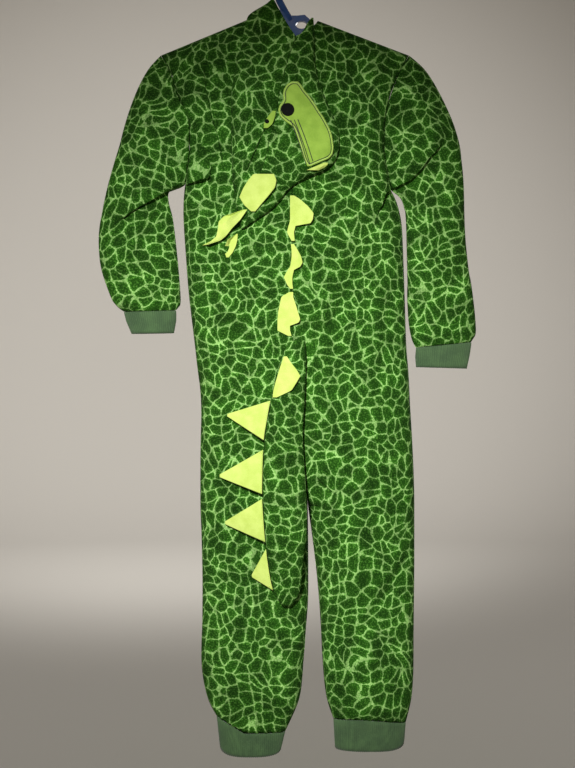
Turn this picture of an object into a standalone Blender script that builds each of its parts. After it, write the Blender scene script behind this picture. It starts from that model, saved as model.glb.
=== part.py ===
"""A child's one-piece dinosaur costume in plush fleece, hung flat on a plastic hanger.

Seen from its back, which faces -Y; its zip is on the front, which faces +Y. The origin is the
inner top of the hanger's hook. All sizes below are millimetres. A point in the picture plane is
(x, drop): x to the right, drop straight down from the hook's inner top.
"""
import math

import bpy
import bmesh
from mathutils import Vector
from mathutils.bvhtree import BVHTree

MM = 0.001


def named(columns, rows):
    """A table's rows, each with its values by column name."""
    return [dict(zip(columns, row)) for row in rows]


# Cloth walls and the spaces between pieces
FLEECE = 2.5
RIB = 2.0
FELT = 1.6
SEAM_GAP = 0.3
LAID_GAP = 0.4
SHARP_ANGLE = 50
LEAST_HOLLOW = 0.4

# The garment's cut: rows down the body, with the centre seam splitting into the inside legs
CROTCH_DROP = 710.0
CROTCH_RISE = 45.0
BODY = named(("drop", "left", "left_middle", "right_middle", "right", "half_depth"), [
    (298, -145, -6.0, -6.0, 121, 27.0),
    (319, -147, -6.0, -6.0, 130, 27.5),
    (340, -147, -6.0, -6.0, 135.5, 28.0),
    (383, -144, -6.0, -6.0, 137.5, 29.0),
    (428, -141, -6.0, -6.0, 139, 29.0),
    (472, -136, -6.0, -6.0, 140.5, 29.0),
    (503, -132, -5.0, -5.0, 141, 29.0),
    (534, -129, -3.0, -3.0, 144.5, 30.0),
    (575, -123, 1.0, 1.0, 146, 30.0),
    (641, -125, 8.0, 8.0, 150, 31.0),
    (710, -125, 14.0, 14.0, 152, 30.0),
    (746, -123.5, 14.7, 19.0, 152, 28.0),
    (799, -122, 15.0, 26.0, 152, 26.0),
    (838, -122, 15.0, 29.0, 151, 25.0),
    (868, -122.5, 12.0, 31.0, 151, 24.0),
    (897, -124, 9.0, 32.0, 151, 24.0),
    (927, -123.5, 8.0, 34.0, 151, 23.5),
    (956, -117, 5.0, 37.0, 149, 22.0),
    (975, -111, 0.0, 42.0, 146, 19.0),
])
ROW_DROPS = {
    "back": [318, 342, 368, 396, 424, 452, 480, 508, 538, 572, 606, 640, 665, 682, 694, 702, 707,
             710, 724, 746, 774, 804, 834, 864, 894, 924, 950, 968],
    "front": [342, 396, 452, 508, 572, 615, 640, 682, 702, 710, 746, 804, 864, 924, 968],
}
# The hem of each leg: its outer end, its level stretch and its inner end, and its half depth
HEM = {
    "left": {"outer": (-104, 983), "inner": (-15, 1003), "level_from": 0.4, "level": 1003},
    "right": {"outer": (141, 991), "inner": (47, 986), "level_from": 0.55, "level": 986},
}
HEM_HALF_DEPTH = 13.0

# Shoulders and neck
SHOULDER = {"left": (-60, 81), "right": (27, 84)}
NECK_X = -6.0
NECK_DROP = {"back": 108, "front": 129}
NECK_HALF_DEPTH = 14.0
NECK_ROUNDNESS = 4.5
SHOULDER_ROUND = 11.0
SHOULDER_START = 0.25
ROWS_TO_PIT = 8
COLUMN_SHARES = {
    "left": (0, 0.024, 0.095, 0.206, 0.345, 0.5, 0.655, 0.7, 0.8, 0.905, 0.976, 1),
    "right": (0, 0.024, 0.095, 0.206, 0.345, 0.5, 0.655, 0.794, 0.826, 0.905, 0.976, 1),
}
LAST_COLUMN = 11
NECK_COLUMN = {"left": 6, "right": 7}
# Across a panel its depth grows from the side fold up to this share, then stays
FLAT_FROM = 0.6
BODY_ROUNDNESS = 2.3
NECK_CURVE = 1.6
ARMHOLE_HALF_GAP = 0.2

# Sleeves: flattened rings from the outer fold to the inner one, the first at the armhole
RING = ("outer_x", "outer_drop", "inner_x", "inner_drop", "half_depth", "bow")
SLEEVE = {
    "left": named(RING, [
        (-176, 129, -145, 297, 18, 18),
        (-193, 147, -152, 301, 20, 15),
        (-213, 188, -161, 304, 21, 10),
        (-229, 240, -166, 309, 20, 6),
        (-248, 305, -166, 319, 19, 2),
        (-257, 362, -161, 336, 19, 0),
        (-255, 398, -156, 376, 18, 0),
        (-246, 428, -152, 418, 17, 0),
        (-236, 452, -150, 450, 15, 0),
        (-224, 461, -156, 459, 11, 0),
    ]),
    "right": named(RING, [
        (145, 129, 122, 304, 18, 21),
        (166, 147, 129, 309, 20, 17),
        (190, 188, 134, 314, 21, 11),
        (209, 236, 138, 323, 20, 5),
        (217, 290, 140, 340, 19, 2),
        (218, 352, 141, 378, 19, 0),
        (224, 412, 142, 426, 18, 0),
        (230, 458, 144, 472, 17, 0),
        (232, 488, 149, 498, 15, 0),
        (226, 500, 154, 507, 11, 0),
    ]),
}
SLEEVE_ROW_SPLITS = 2
RING_HALF = ROWS_TO_PIT

# Rib cuffs: each ring of a wrist cuff below the sleeve, and the bottom of each ankle cuff
WRIST_CUFF = {
    "left": named(RING, [(-221, 473, -156, 472, 11.5, 0), (-214, 489, -159, 488, 11, 0)]),
    "right": named(RING, [(224, 515, 153, 519, 11.5, 0), (220, 534, 154, 532, 11, 0)]),
}
CUFF_ROUNDNESS = 3.0
ANKLE_CUFF = {
    "left": {"outer": (-100, 1018), "inner": (-20, 1022), "level": 1034, "half_depth": 13.0},
    "right": {"outer": (139, 1014), "inner": (49, 1023), "level": 1027, "half_depth": 13.0},
}

# The largest folds, as soft troughs, ridges or lips (one side of a lip stands over the other)
FOLDS = named(("kind", "x0", "drop0", "x1", "drop1", "width", "depth"), [
    ("trough", -154, 180, -111, 291, 11, 3.5),
    ("trough", -118, 155, -108, 214, 9, 3.0),
    ("ridge", -138, 190, -100, 300, 10, 2.5),
    ("trough", 63, 166, 45, 208, 10, 3.0),
    ("trough", 113, 207, 114, 280, 10, 3.0),
    ("ridge", 92, 170, 96, 300, 14, 2.5),
    ("trough", 122, 316, 61, 434, 12, 4.0),
    ("trough", 61, 434, 34, 488, 12, 3.5),
    ("ridge", 132, 372, 84, 455, 14, 2.5),
    ("trough", 124, 466, 113, 554, 13, 3.0),
    ("trough", -96, 799, -60, 856, 13, 3.5),
    ("trough", 140, 780, 88, 861, 12, 3.5),
    ("ridge", 128, 822, 84, 892, 13, 2.5),
    ("trough", 24, 668, 49, 688, 10, 3.0),
    ("ridge", -96, 560, -88, 700, 20, 2.5),
    ("ridge", 84, 560, 92, 720, 22, 2.5),
    ("lip", -232, 350, -190, 327, 9, 4.5),
    ("lip", -190, 327, -163, 306, 9, 4.5),
    ("lip", -163, 306, -111, 291, 9, 3.5),
    ("lip", 115, 312, 131, 301, 9, 3.5),
    ("lip", 131, 301, 168, 273, 9, 4.5),
    ("lip", 168, 273, 196, 238, 9, 3.5),
])
LIP_REACH = 4.0
FOLD_FADE = 12.0
FRONT_FOLD_SHARE = 0.7

# Hood: rows from its mouth to its tip, from the left fold by the centre seam to the right fold
HOOD = named(("left_x", "left_drop", "seam_x", "seam_drop", "right_x", "right_drop",
              "front", "back"), [
    (-65, 90, -5, 121, 22, 99, 7, 4.6),
    (-68, 103, -10, 138, 22, 118, 10, 5),
    (-71, 122, -15, 155, 22, 138, 13, 5),
    (-76, 146, -20, 174, 25, 161, 16, 5),
    (-83, 172, -24, 196, 34, 187, 19, 5),
    (-84, 200, -26, 216, 45, 211, 21, 5),
    (-84, 228, -31, 238, 54, 234, 21, 5),
    (-83, 254, -36, 259, 54, 257, 20, 5),
    (-83, 277, -42, 280, 48, 274, 18, 5),
    (-82, 293, -48, 296, 30, 286, 15, 5),
    (-81, 307, -52, 309, 4, 295, 12, 5),
    (-79, 321, -57, 322, -14, 309, 10, 5),
    (-77, 334, -60, 334, -26, 329, 8, 4.5),
    (-74, 347, -64, 346, -48, 343, 6, 4),
    (-71, 357, -66, 355, -60, 351, 4, 3.5),
])
# The edge of the hood's mouth, as seen from the back, and how far its layers stand apart there
RIM = {
    "left": [(-63, 81), (-50, 74), (-37, 67), (-31, 60), (-22, 77), (-9, 100), (-1, 110)],
    "right": [(21, 85), (18, 86), (14, 91), (11, 97), (8, 103), (4, 108), (-1, 110)],
}
RIM_STANDOFF = 4.6
HOOD_SHARES = (0.0, 0.07, 0.2, 0.38, 0.58, 0.79, 1.0)
HOOD_FRONT_ROUNDNESS = 2.2
HOOD_BACK_ROUNDNESS = 4.0
NECK_BASE = -14.5
HOOD_REACH = 14.0
HOOD_END_TOP = 103
HOOD_END_LEAST = 4.0

# Tail: rows from its root to its tip, from the spine seam to the belly seam
TAIL = named(("drop", "spine", "belly", "thickness"), [
    (499, -9, 10, 7.0),
    (518, -20, 12, 12),
    (545, -27, 11, 17),
    (573, -33, 10, 20),
    (600, -38, 8, 22),
    (626, -42, 7, 24),
    (664, -43.5, 10, 25),
    (694, -44, 12, 26),
    (722, -42.5, 13, 26),
    (755, -40, 11, 24),
    (780, -37, 7, 20),
    (805, -33, 6, 16),
    (823, -28, 3, 12),
    (836, -19, -7, 7.0),
])
TAIL_RING_HALF = 7
TAIL_REACH = 5

# Felt spikes, in rows of (drop, sewn edge's x, free edge's x, how far the free edge stands off)
SPINE_SPIKES = {
    "spike_back_1": [
        (314, -9, -4, 0.5), (319, -9, 4, 1.5), (328, -9, 14, 3), (337, -9, 21, 5),
        (345, -9, 20, 6), (350, -10, 17, 6), (353, -11, -2, 2), (361, -13, -4, 1), (372, -7, -3, 0.5),
    ],
    "spike_back_2": [
        (376, -8, -4, 0.5), (384, -7, 1, 2), (392, -7, 5, 4), (400, -8, 7, 6), (405, -9, 4, 5),
        (409, -12, -4, 2), (418, -17, -6, 1), (427, -13, -6, 1), (433, -9, -5, 0.5),
    ],
    "spike_back_3": [
        (437, -10, -5, 0.5), (443, -20, -5, 1), (452, -22, -2, 2), (462, -24, 1, 4),
        (472, -25, 4, 6), (476, -25, 2, 5), (480, -25, -9, 2), (486, -25, -9, 1), (493, -11, -7, 0.5),
    ],
}
TAIL_ROOT_SPIKE = [
    (519, -17, -13, 0.5), (528, -20, -7, 2), (537, -23, 0, 4), (544, -25, 4, 6),
    (554, -28, -2, 5), (562, -30, -7, 3), (571, -31, -26, 0.5),
]
HOOD_SPIKES = {
    "spike_hood_1": [
        (290, -55, -29, 1), (298, -62, -26, 3), (307, -68, -28, 5), (318, -73, -37, 5),
        (328, -67, -46, 3), (336, -58, -53, 1),
    ],
    "spike_hood_2": [
        (334, -68, -63, 1), (340, -93, -67, 3), (347, -100, -72, 5), (357, -101, -83, 6),
        (366, -103, -90, 7), (372, -110, -97, 8), (377, -121, -113, 8),
    ],
    "spike_hood_2_leaf": [
        (363, -77, -75.5, 0.5), (371, -88, -76, 1), (379, -92, -78, 2), (387, -92, -82, 2), (393, -90, -87, 1),
    ],
    "spike_hood_3": [
        (275, 34, 39, 0.5), (278, 27, 38, 0.5), (281, 20, 34, 0.5), (284.5, 12, 27, 0.5),
    ],
}
SPIKE_SHARES = (0.0, 0.34, 0.67, 1.0)
SPIKE_REACH = 4
HOOD_SPIKE_REACH = 8
# Spikes in the tail's spine seam: base from and to, tip, thickness at the middle
TAIL_SPIKES = {
    "spike_tail_1": {"base": (575, 625), "tip": (-92, 593)},
    "spike_tail_2": {"base": (637, 693), "tip": (-102, 671)},
    "spike_tail_3": {"base": (699, 754), "tip": (-95, 731)},
    "spike_tail_4": {"base": (763, 816), "tip": (-59, 799)},
}
TAIL_SPIKE_STEPS = 5
TAIL_SPIKE_THICK = 3.0
TAIL_SPIKE_EDGE = 1.6
TAIL_SPIKE_GAP = 0.4
TAIL_SPIKE_CLEAR = 2.9
TAIL_SPIKE_SHARES = (0.0, 0.3, 0.6, 0.94)

# Felt eye patches, in rows of (drop, left edge's x, right edge's x)
PATCHES = {
    "eye_patch_right": [
        (172, -7, 1), (176, -13, 5), (183, -17, 9), (190, -18, 15), (197, -17, 20), (203, -22, 24),
        (210, -24, 28), (217, -22, 33), (223, -16, 36), (230, -6, 40), (238, -2, 43), (247, 1, 45),
        (256, 4, 46), (264, 6, 45), (270, 8, 40), (275, 10, 28), (280, 13, 17),
    ],
    "eye_patch_left": [
        (211, -31, -27), (216, -35, -27.5), (222, -39, -29), (228, -42, -31.5), (233, -42, -37),
    ],
}
PATCH_STEPS = 6
PATCH_REACH = 3
# The round eyes on them: x, drop, radius
EYES = {"eye_right": (-12, 209, 8.3), "eye_left": (-38, 224.5, 2.6)}
EYE_REACH = 2
EYE_THICK = 1.0
EYE_SIDES = 20

# Hanger
HOOK_RADIUS = 24.0
HOOK_ROD = 4.5
HOOK_END_ANGLE = -25.0
ARM_ROD = 3.0
ARM_ENDS = {"left": -146, "right": 122}
ARM_BELOW_RIDGE = 1.8
HUB_CENTRE = (-3, 92)
HUB_THICK = 7.0
HUB_OUTLINE = [(-22, 70), (-12, 78), (0, 78), (10, 77), (18, 84), (17, 94), (8, 104), (0, 107),
               (-8, 105), (-20, 96), (-26, 80)]
RING_CENTRE = (6, 90)
RING_HALF_WIDTH = 7.5
RING_HALF_HEIGHT = 5.0

# Zip: chain on its tape behind the slot between the front panels, slider and pull tab
ZIP_TOP = 134.0
ZIP_END = 640.0
CHAIN_END = 604.0
ZIP_SLOT = 3.0
SLOT_FADE = 25.0
ZIP_STEPS = 24
TAPE_HALF_WIDTH = 11.0
TAPE_THICK = 0.8
CHAIN_HALF_WIDTH = 2.4
CHAIN_PROUD = 0.4
SLIDER_DROP = 152.0
SLIDER_SIZE = (9.0, 2.4, 11.0)
BAIL_RADIUS = 2.5
BAIL_HOLE = 1.2
BAIL_WIDTH = 1.4
PIVOT_STANDOFF = 1.3
TAB_LENGTH = 24.0
TAB_WIDTH = 6.0
TAB_THICK = 1.2

# Colours (sRGB, roughness)
FINISHES = {
    "plush_fleece": ("2f6b22", 0.95),
    "rib_knit": ("3c7a35", 0.9),
    "felt_lime": ("c9e468", 0.9),
    "felt_green": ("8fb52f", 0.9),
    "felt_black": ("14170f", 0.85),
    "blue_plastic": ("1f4684", 0.4),
    "zip_green": ("2c6a2b", 0.5),
    "zip_metal": ("b9bcc0", 0.3),
}


def clear_scene():
    for item in list(bpy.data.objects):
        bpy.data.objects.remove(item, do_unlink=True)


def linear(channel):
    value = channel / 255
    if value <= 0.04045:
        return value / 12.92
    return ((value + 0.055) / 1.055) ** 2.4


def finish(name):
    material = bpy.data.materials.get(name)
    if material:
        return material
    colour, roughness = FINISHES[name]
    material = bpy.data.materials.new(name)
    material.use_nodes = True
    shader = material.node_tree.nodes["Principled BSDF"]
    rgb = [linear(int(colour[i:i + 2], 16)) for i in (0, 2, 4)]
    shader.inputs["Base Color"].default_value = (*rgb, 1.0)
    shader.inputs["Roughness"].default_value = roughness
    shader.inputs["Metallic"].default_value = 1.0 if name == "zip_metal" else 0.0
    return material


def table_value(table, key, at, name):
    """A named column of a table at any value of its key column."""
    return through([row[key] for row in table], [row[name] for row in table], at)


def through(keys, values, at):
    """A smooth curve through a table's rows, which never overshoots them."""
    last = len(keys) - 1
    if at <= keys[0]:
        return values[0]
    if at >= keys[last]:
        return values[last]
    slopes = [(values[i + 1] - values[i]) / (keys[i + 1] - keys[i]) for i in range(last)]
    i = max(k for k in range(last) if keys[k] <= at)

    def tangent(k):
        if k in (0, last):
            return slopes[0 if k == 0 else last - 1]
        before, after = slopes[k - 1], slopes[k]
        return 0.0 if before * after <= 0 else 2 * before * after / (before + after)

    span = keys[i + 1] - keys[i]
    t = (at - keys[i]) / span
    rise = values[i + 1] - values[i]
    start, end = tangent(i) * span, tangent(i + 1) * span
    return values[i] + t * (start + t * (3 * rise - 2 * start - end + t * (start + end - 2 * rise)))


def mix(a, b, t):
    return a + (b - a) * t


def quarter_round(share, power=BODY_ROUNDNESS):
    """From 0 at a fold to 1 at the middle, as a flattened tube bulges."""
    return (1 - (1 - min(max(share, 0.0), 1.0)) ** power) ** (1 / power)


def half_round(share, power=BODY_ROUNDNESS):
    """From 0 at one fold to 1 in the middle and 0 at the other fold."""
    return max(0.0, 1 - abs(2 * share - 1) ** power) ** (1 / power)


def fold_height(x, drop):
    """How far the largest folds push the cloth out (positive) or in."""
    height = 0.0
    point = Vector((x, drop))
    for fold in FOLDS:
        start = Vector((fold["x0"], fold["drop0"]))
        run = Vector((fold["x1"], fold["drop1"])) - start
        t = (point - start).dot(run) / run.length_squared
        beyond = max(0.0, -t, t - 1) * run.length
        depth = fold["depth"] * math.exp(-(beyond / fold["width"]) ** 2)
        side = point - start - run * t
        away = side.length / fold["width"]
        if fold["kind"] == "lip":
            above = 1.0 if side.y < 0 else -1.0
            height += depth * above * 2 * away / (1 + away * away) * math.exp(-away / LIP_REACH)
        elif fold["kind"] == "ridge":
            height += depth * math.exp(-away * away)
        else:
            height -= depth * math.exp(-away * away)
    return height


def folded(x, drop, depth, face):
    """The fold's push on a point of the body or a sleeve, none where front meets back."""
    share = min(1.0, max(0.0, depth) / FOLD_FADE)
    if face == "front":
        mirrored = 2 * NECK_X - x
        return FRONT_FOLD_SHARE * share * fold_height(mirrored, drop)
    return share * fold_height(x, drop)


def place(x, y, drop):
    return Vector((x, y, -drop)) * MM


def signed(face):
    return -1.0 if face == "back" else 1.0


def new_mesh_object(name, mesh, material_name):
    mesh.materials.append(finish(material_name))
    item = bpy.data.objects.new(name, mesh)
    COSTUME.objects.link(item)
    return item


def shell(name, material_name, outside, inside, ring=False):
    """One closed wall between an outside and an inside grid of points (rows of columns)."""
    rows, columns = len(outside), len(outside[0])
    mesh = bmesh.new()
    out = [[mesh.verts.new(p) for p in row] for row in outside]
    inn = [[mesh.verts.new(p) for p in row] for row in inside]
    span = columns if ring else columns - 1
    for r in range(rows - 1):
        for c in range(span):
            d = (c + 1) % columns
            mesh.faces.new((out[r][c], out[r][d], out[r + 1][d], out[r + 1][c]))
            mesh.faces.new((inn[r][c], inn[r + 1][c], inn[r + 1][d], inn[r][d]))
    for c in range(span):
        d = (c + 1) % columns
        mesh.faces.new((out[0][c], inn[0][c], inn[0][d], out[0][d]))
        mesh.faces.new((out[-1][c], out[-1][d], inn[-1][d], inn[-1][c]))
    if not ring:
        for r in range(rows - 1):
            mesh.faces.new((out[r][0], out[r + 1][0], inn[r + 1][0], inn[r][0]))
            mesh.faces.new((out[r][-1], inn[r][-1], inn[r + 1][-1], out[r + 1][-1]))
    bmesh.ops.triangulate(mesh, faces=mesh.faces[:])
    if mesh.calc_volume(signed=True) < 0:
        bmesh.ops.reverse_faces(mesh, faces=mesh.faces[:])
    data = bpy.data.meshes.new(name)
    mesh.to_mesh(data)
    mesh.free()
    item = new_mesh_object(name, data, material_name)
    data.shade_smooth()
    data.set_sharp_from_angle(angle=math.radians(SHARP_ANGLE))
    return item


def ring_row_point(row, side, share, inset, seam_shift=0.0):
    """A point across a flattened ring, from its outer fold (0) to its inner one (1)."""
    outer = Vector((row["outer_x"], row["outer_drop"]))
    inner = Vector((row["inner_x"], row["inner_drop"]))
    chord = inner - outer
    length = chord.length
    inward = Vector((chord.y, -chord.x)).normalized() * (1 if side == "left" else -1)
    kept = inset / length + (1 - 2 * inset / length) * share
    return outer + chord * kept + inward * (row["bow"] * 4 * kept * (1 - kept) + seam_shift)


def body_value(drop, name):
    return table_value(BODY, "drop", drop, name)


def seam_share(drop):
    """1 where the two halves meet in a centre seam, 0 where each is a leg of its own."""
    if drop >= CROTCH_DROP:
        return 0.0
    return math.sqrt(1 - max(0.0, 1 - (CROTCH_DROP - drop) / CROTCH_RISE) ** 2)


def slot_half_width(face, drop):
    """Half the space between the two halves at the centre: a seam, or the zip's slot."""
    if face == "back" or drop > ZIP_END:
        return SEAM_GAP / 2
    return mix(SEAM_GAP / 2, ZIP_SLOT, min(1.0, (ZIP_END - drop) / SLOT_FADE))


def neck_point(side, face, share, inset):
    """A point on the neckline, from the shoulder (0) to the centre (1)."""
    corner = SHOULDER[side]
    x = mix(corner[0], NECK_X, share)
    drop = mix(corner[1], NECK_DROP[face], quarter_round(share, NECK_CURVE))
    return Vector((x, drop)), NECK_HALF_DEPTH * quarter_round(share, NECK_ROUNDNESS)


def upper_rows(side, face, inset):
    """Rows from the shoulder and neckline down to the armpit, as points and depths."""
    columns = COLUMN_SHARES[side]
    rows = [i / ROWS_TO_PIT for i in range(ROWS_TO_PIT + 1)]
    armhole = SLEEVE[side][0]
    neck_at = NECK_COLUMN[side]
    corner = Vector(SHOULDER[side])
    pit_drop = body_value(0, "drop")
    chest = body_value(pit_drop, "half_depth")
    top, top_depth = [], []
    tip = ring_row_point(armhole, side, 0.0, inset, ARMHOLE_HALF_GAP)
    for i, share in enumerate(columns):
        if i <= neck_at:
            at = tip.lerp(corner + Vector((0, inset)), share / columns[neck_at])
            depth = 0.0
        else:
            along = (share - columns[neck_at]) / (1 - columns[neck_at])
            at, depth = neck_point(side, face, along, inset)
        top.append(at)
        top_depth.append(depth)
    pit = ring_row_point(armhole, side, 1.0, inset, ARMHOLE_HALF_GAP)
    centre = Vector((NECK_X, pit_drop))
    grid = []
    for j, turn in enumerate(rows):
        v = (1 - math.cos(math.pi * turn)) / 2
        edge = ring_row_point(armhole, side, v, inset, ARMHOLE_HALF_GAP)
        edge_depth = armhole["half_depth"] * math.sin(math.pi * turn)
        middle = top[-1].lerp(centre, v)
        middle_depth = mix(NECK_HALF_DEPTH, chest, v)
        shoulder_round = SHOULDER_ROUND * quarter_round(v / SHOULDER_START, 2) * (1 - v)
        line = []
        for i, u in enumerate(columns):
            bottom = pit.lerp(centre, u)
            at = (top[i] * (1 - v) + bottom * v + edge * (1 - u) + middle * u
                  - tip * ((1 - u) * (1 - v)) - top[-1] * (u * (1 - v))
                  - pit * ((1 - u) * v) - centre * (u * v))
            depth = (top_depth[i] * (1 - v) + chest * quarter_round(u / FLAT_FROM) * v
                     + edge_depth * (1 - u) + middle_depth * u
                     - NECK_HALF_DEPTH * u * (1 - v) - chest * u * v)
            if 0 < u < 1:
                below_shoulder = 1 - top_depth[i] / NECK_HALF_DEPTH
                depth += shoulder_round * below_shoulder * quarter_round(u / SHOULDER_START, 2)
            line.append((at, depth))
        grid.append(line)
    return grid


def lower_rows(side, face, inset):
    """Rows from below the armpit to the hem, as points and depths; fewer on the plain front."""
    sign = 1 if side == "left" else -1
    grid = []
    for drop in ROW_DROPS[face]:
        closed = seam_share(drop)
        outer = body_value(drop, side) + sign * inset
        middle = body_value(drop, "left_middle" if drop < CROTCH_DROP else side + "_middle")
        if drop >= CROTCH_DROP:
            middle -= sign * SEAM_GAP / 2
        middle -= sign * inset * (1 - math.sqrt(closed))
        depth = body_value(drop, "half_depth")
        line = []
        for share in COLUMN_SHARES[side]:
            inside_leg = quarter_round((1 - share) / (1 - FLAT_FROM))
            bulge = quarter_round(share / FLAT_FROM) * mix(inside_leg, 1.0, closed)
            line.append((Vector((mix(outer, middle, share), drop)), depth * bulge))
        grid.append(line)
    return grid


def hem_line(side, inset, lower=0.0):
    """The leg's hem, where the fleece turns in to its rib cuff."""
    hem = HEM[side]
    sign = 1 if side == "left" else -1
    line = []
    for share in COLUMN_SHARES[side]:
        x = mix(hem["outer"][0] + sign * inset, hem["inner"][0] - sign * inset, share)
        if share < hem["level_from"]:
            drop = through([0.0, hem["level_from"]], [hem["outer"][1], hem["level"]], share)
        else:
            drop = mix(hem["level"], hem["inner"][1], (share - hem["level_from"]) / (1 - hem["level_from"]))
        line.append((Vector((x, drop + lower)), HEM_HALF_DEPTH * half_round(share)))
    return line


def panel_grid(side, face):
    """Outside and inside points of a body panel, shoulder to ankle."""
    sign = signed(face)
    toward = 1 if side == "left" else -1
    skins = []
    for inset in (0.0, FLEECE):
        rows = upper_rows(side, face, inset) + lower_rows(side, face, inset) + [hem_line(side, inset)]
        skins.append(rows)
    outside, inside = [], []
    for outer_row, inner_row in zip(*skins):
        out_line, in_line = [], []
        for i, ((at, depth), (under, under_depth)) in enumerate(zip(outer_row, inner_row)):
            push = folded(at.x, at.y, depth, face)
            x, under_x = at.x, under.x
            if i == LAST_COLUMN and at.y < CROTCH_DROP:
                gap = slot_half_width(face, at.y)
                x -= toward * gap
                under_x -= toward * gap
            drop, under_drop = at.y, under.y
            y = depth + push
            under_y = max(0.0, under_depth - FLEECE) + push
            out_line.append(place(x, sign * (y + SEAM_GAP / 2), drop))
            in_line.append(place(under_x, sign * (min(y, under_y) + SEAM_GAP / 2), under_drop))
        outside.append(out_line)
        inside.append(in_line)
    return outside, inside


def build_panels():
    for side in ("left", "right"):
        for face in ("back", "front"):
            outside, inside = panel_grid(side, face)
            shell(f"{face}_{side}", "plush_fleece", outside, inside)


def sleeve_rows(side):
    """The table's rings with more between them, so that the sleeve's folds run round."""
    rows = SLEEVE[side]
    keys = list(range(len(rows)))
    count = (len(rows) - 1) * SLEEVE_ROW_SPLITS
    steps = [i / SLEEVE_ROW_SPLITS for i in range(count + 1)]
    return [{name: through(keys, [row[name] for row in rows], step) for name in RING} for step in steps]


def ring_points(row, side, inset, shift=0.0, folds=True):
    """A flattened ring of points round the arm, from its outer fold by the back."""
    points = []
    for j in range(2 * RING_HALF):
        angle = math.pi * j / RING_HALF
        share = (1 - math.cos(angle)) / 2
        at = ring_row_point(row, side, share, inset, shift)
        across = math.sin(angle)
        depth = (row["half_depth"] - inset) * abs(across)
        face = "back" if across > 0 else "front"
        push = folded(at.x, at.y, row["half_depth"] * abs(across), face) if folds else 0.0
        y = signed(face) * (depth + push) if abs(across) > 1e-6 else 0.0
        points.append(place(at.x, y, at.y))
    return points


def build_sleeve(side):
    rows = sleeve_rows(side)
    outside, inside = [], []
    for index, row in enumerate(rows):
        shift = -ARMHOLE_HALF_GAP if index == 0 else 0.0
        outside.append(ring_points(row, side, 0.0, shift))
        inside.append(ring_points(row, side, FLEECE, shift))
    shell(f"sleeve_{side}", "plush_fleece", outside, inside, ring=True)


def build_wrist_cuff(side):
    top = dict(SLEEVE[side][-1])
    top["outer_drop"] += SEAM_GAP
    top["inner_drop"] += SEAM_GAP
    rows = [top] + WRIST_CUFF[side]
    outside = [ring_points(row, side, 0.0, folds=False) for row in rows]
    inside = [ring_points(row, side, RIB, folds=False) for row in rows]
    shell(f"cuff_wrist_{side}", "rib_knit", outside, inside, ring=True)


def leg_ring(line, inset):
    """A ring round the leg from one line of points and depths, back then front."""
    back = [place(at.x, -max(0.0, depth - inset * (depth > 0)), at.y) for at, depth in line]
    front = [place(at.x, max(0.0, depth - inset * (depth > 0)), at.y) for at, depth in line]
    return back + front[-2:0:-1]


def cuff_line(side, inset, level):
    """A line across the ankle cuff, from its hem seam (0) to its bottom (1)."""
    cuff = ANKLE_CUFF[side]
    sign = 1 if side == "left" else -1
    top = hem_line(side, inset, SEAM_GAP)
    line = []
    for (start, depth), share in zip(top, COLUMN_SHARES[side]):
        x = mix(cuff["outer"][0] + sign * inset, cuff["inner"][0] - sign * inset, share)
        ends = mix(cuff["outer"][1], cuff["inner"][1], share)
        drop = mix(ends, cuff["level"], half_round(share, CUFF_ROUNDNESS))
        line.append((start.lerp(Vector((x, drop)), level), depth))
    return line


def build_ankle_cuff(side):
    levels = (0.0, 0.5, 1.0)
    outside = [leg_ring(cuff_line(side, 0.0, level), 0.0) for level in levels]
    inside = [leg_ring(cuff_line(side, RIB, level), RIB) for level in levels]
    shell(f"cuff_ankle_{side}", "rib_knit", outside, inside, ring=True)


class Surface:
    """The outermost surface, seen from the back, of all pieces made so far."""

    FAR_BACK = -400

    def __init__(self):
        self.trees = []
        for item in COSTUME.objects:
            mesh = item.data
            points = [item.matrix_world @ v.co for v in mesh.vertices]
            self.trees.append(BVHTree.FromPolygons(points, [p.vertices[:] for p in mesh.polygons]))

    def at(self, x, drop, reach=0.0, bare=None):
        """Its y in millimetres, the most proud within reach, or the bare value where none is."""
        best = bare
        steps = (-reach, -reach / 2, reach / 2, reach)
        spots = [(0, 0)] + [(step, 0) for step in steps] + [(0, step) for step in steps]
        for dx, dz in spots:
            start = place(x + dx, self.FAR_BACK, drop + dz)
            for tree in self.trees:
                hit = tree.ray_cast(start, Vector((0, 1, 0)))[0]
                if hit is not None and (best is None or hit.y / MM < best):
                    best = hit.y / MM
        return best


def hood_line(side, row, inset):
    """Points across one half of the hood, from its fold to the centre seam; no row is the mouth."""
    sign = 1 if side == "left" else -1
    if row is None:
        line = [Vector(p) for p in RIM[side]]
        line[0].x += sign * inset
        line[-1].x -= sign * SEAM_GAP / 2
        return line
    fold = Vector((row[side + "_x"] + sign * inset, row[side + "_drop"]))
    seam = Vector((row["seam_x"] - sign * SEAM_GAP / 2, row["seam_drop"]))
    return [fold.lerp(seam, share) for share in HOOD_SHARES]


def mouth_back_line(side, inset):
    """The hood's inner layer at its mouth, along the back neckline."""
    line = []
    for point, share in zip(hood_line(side, None, inset), HOOD_SHARES):
        corner = SHOULDER[side]
        along = (point.x - corner[0]) / (NECK_X - corner[0])
        drop = mix(corner[1], NECK_DROP["back"], quarter_round(min(1.0, max(0.0, along)), NECK_CURVE))
        if share == 0:
            drop = point.y
        line.append(Vector((point.x, drop)))
    return line


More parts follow.
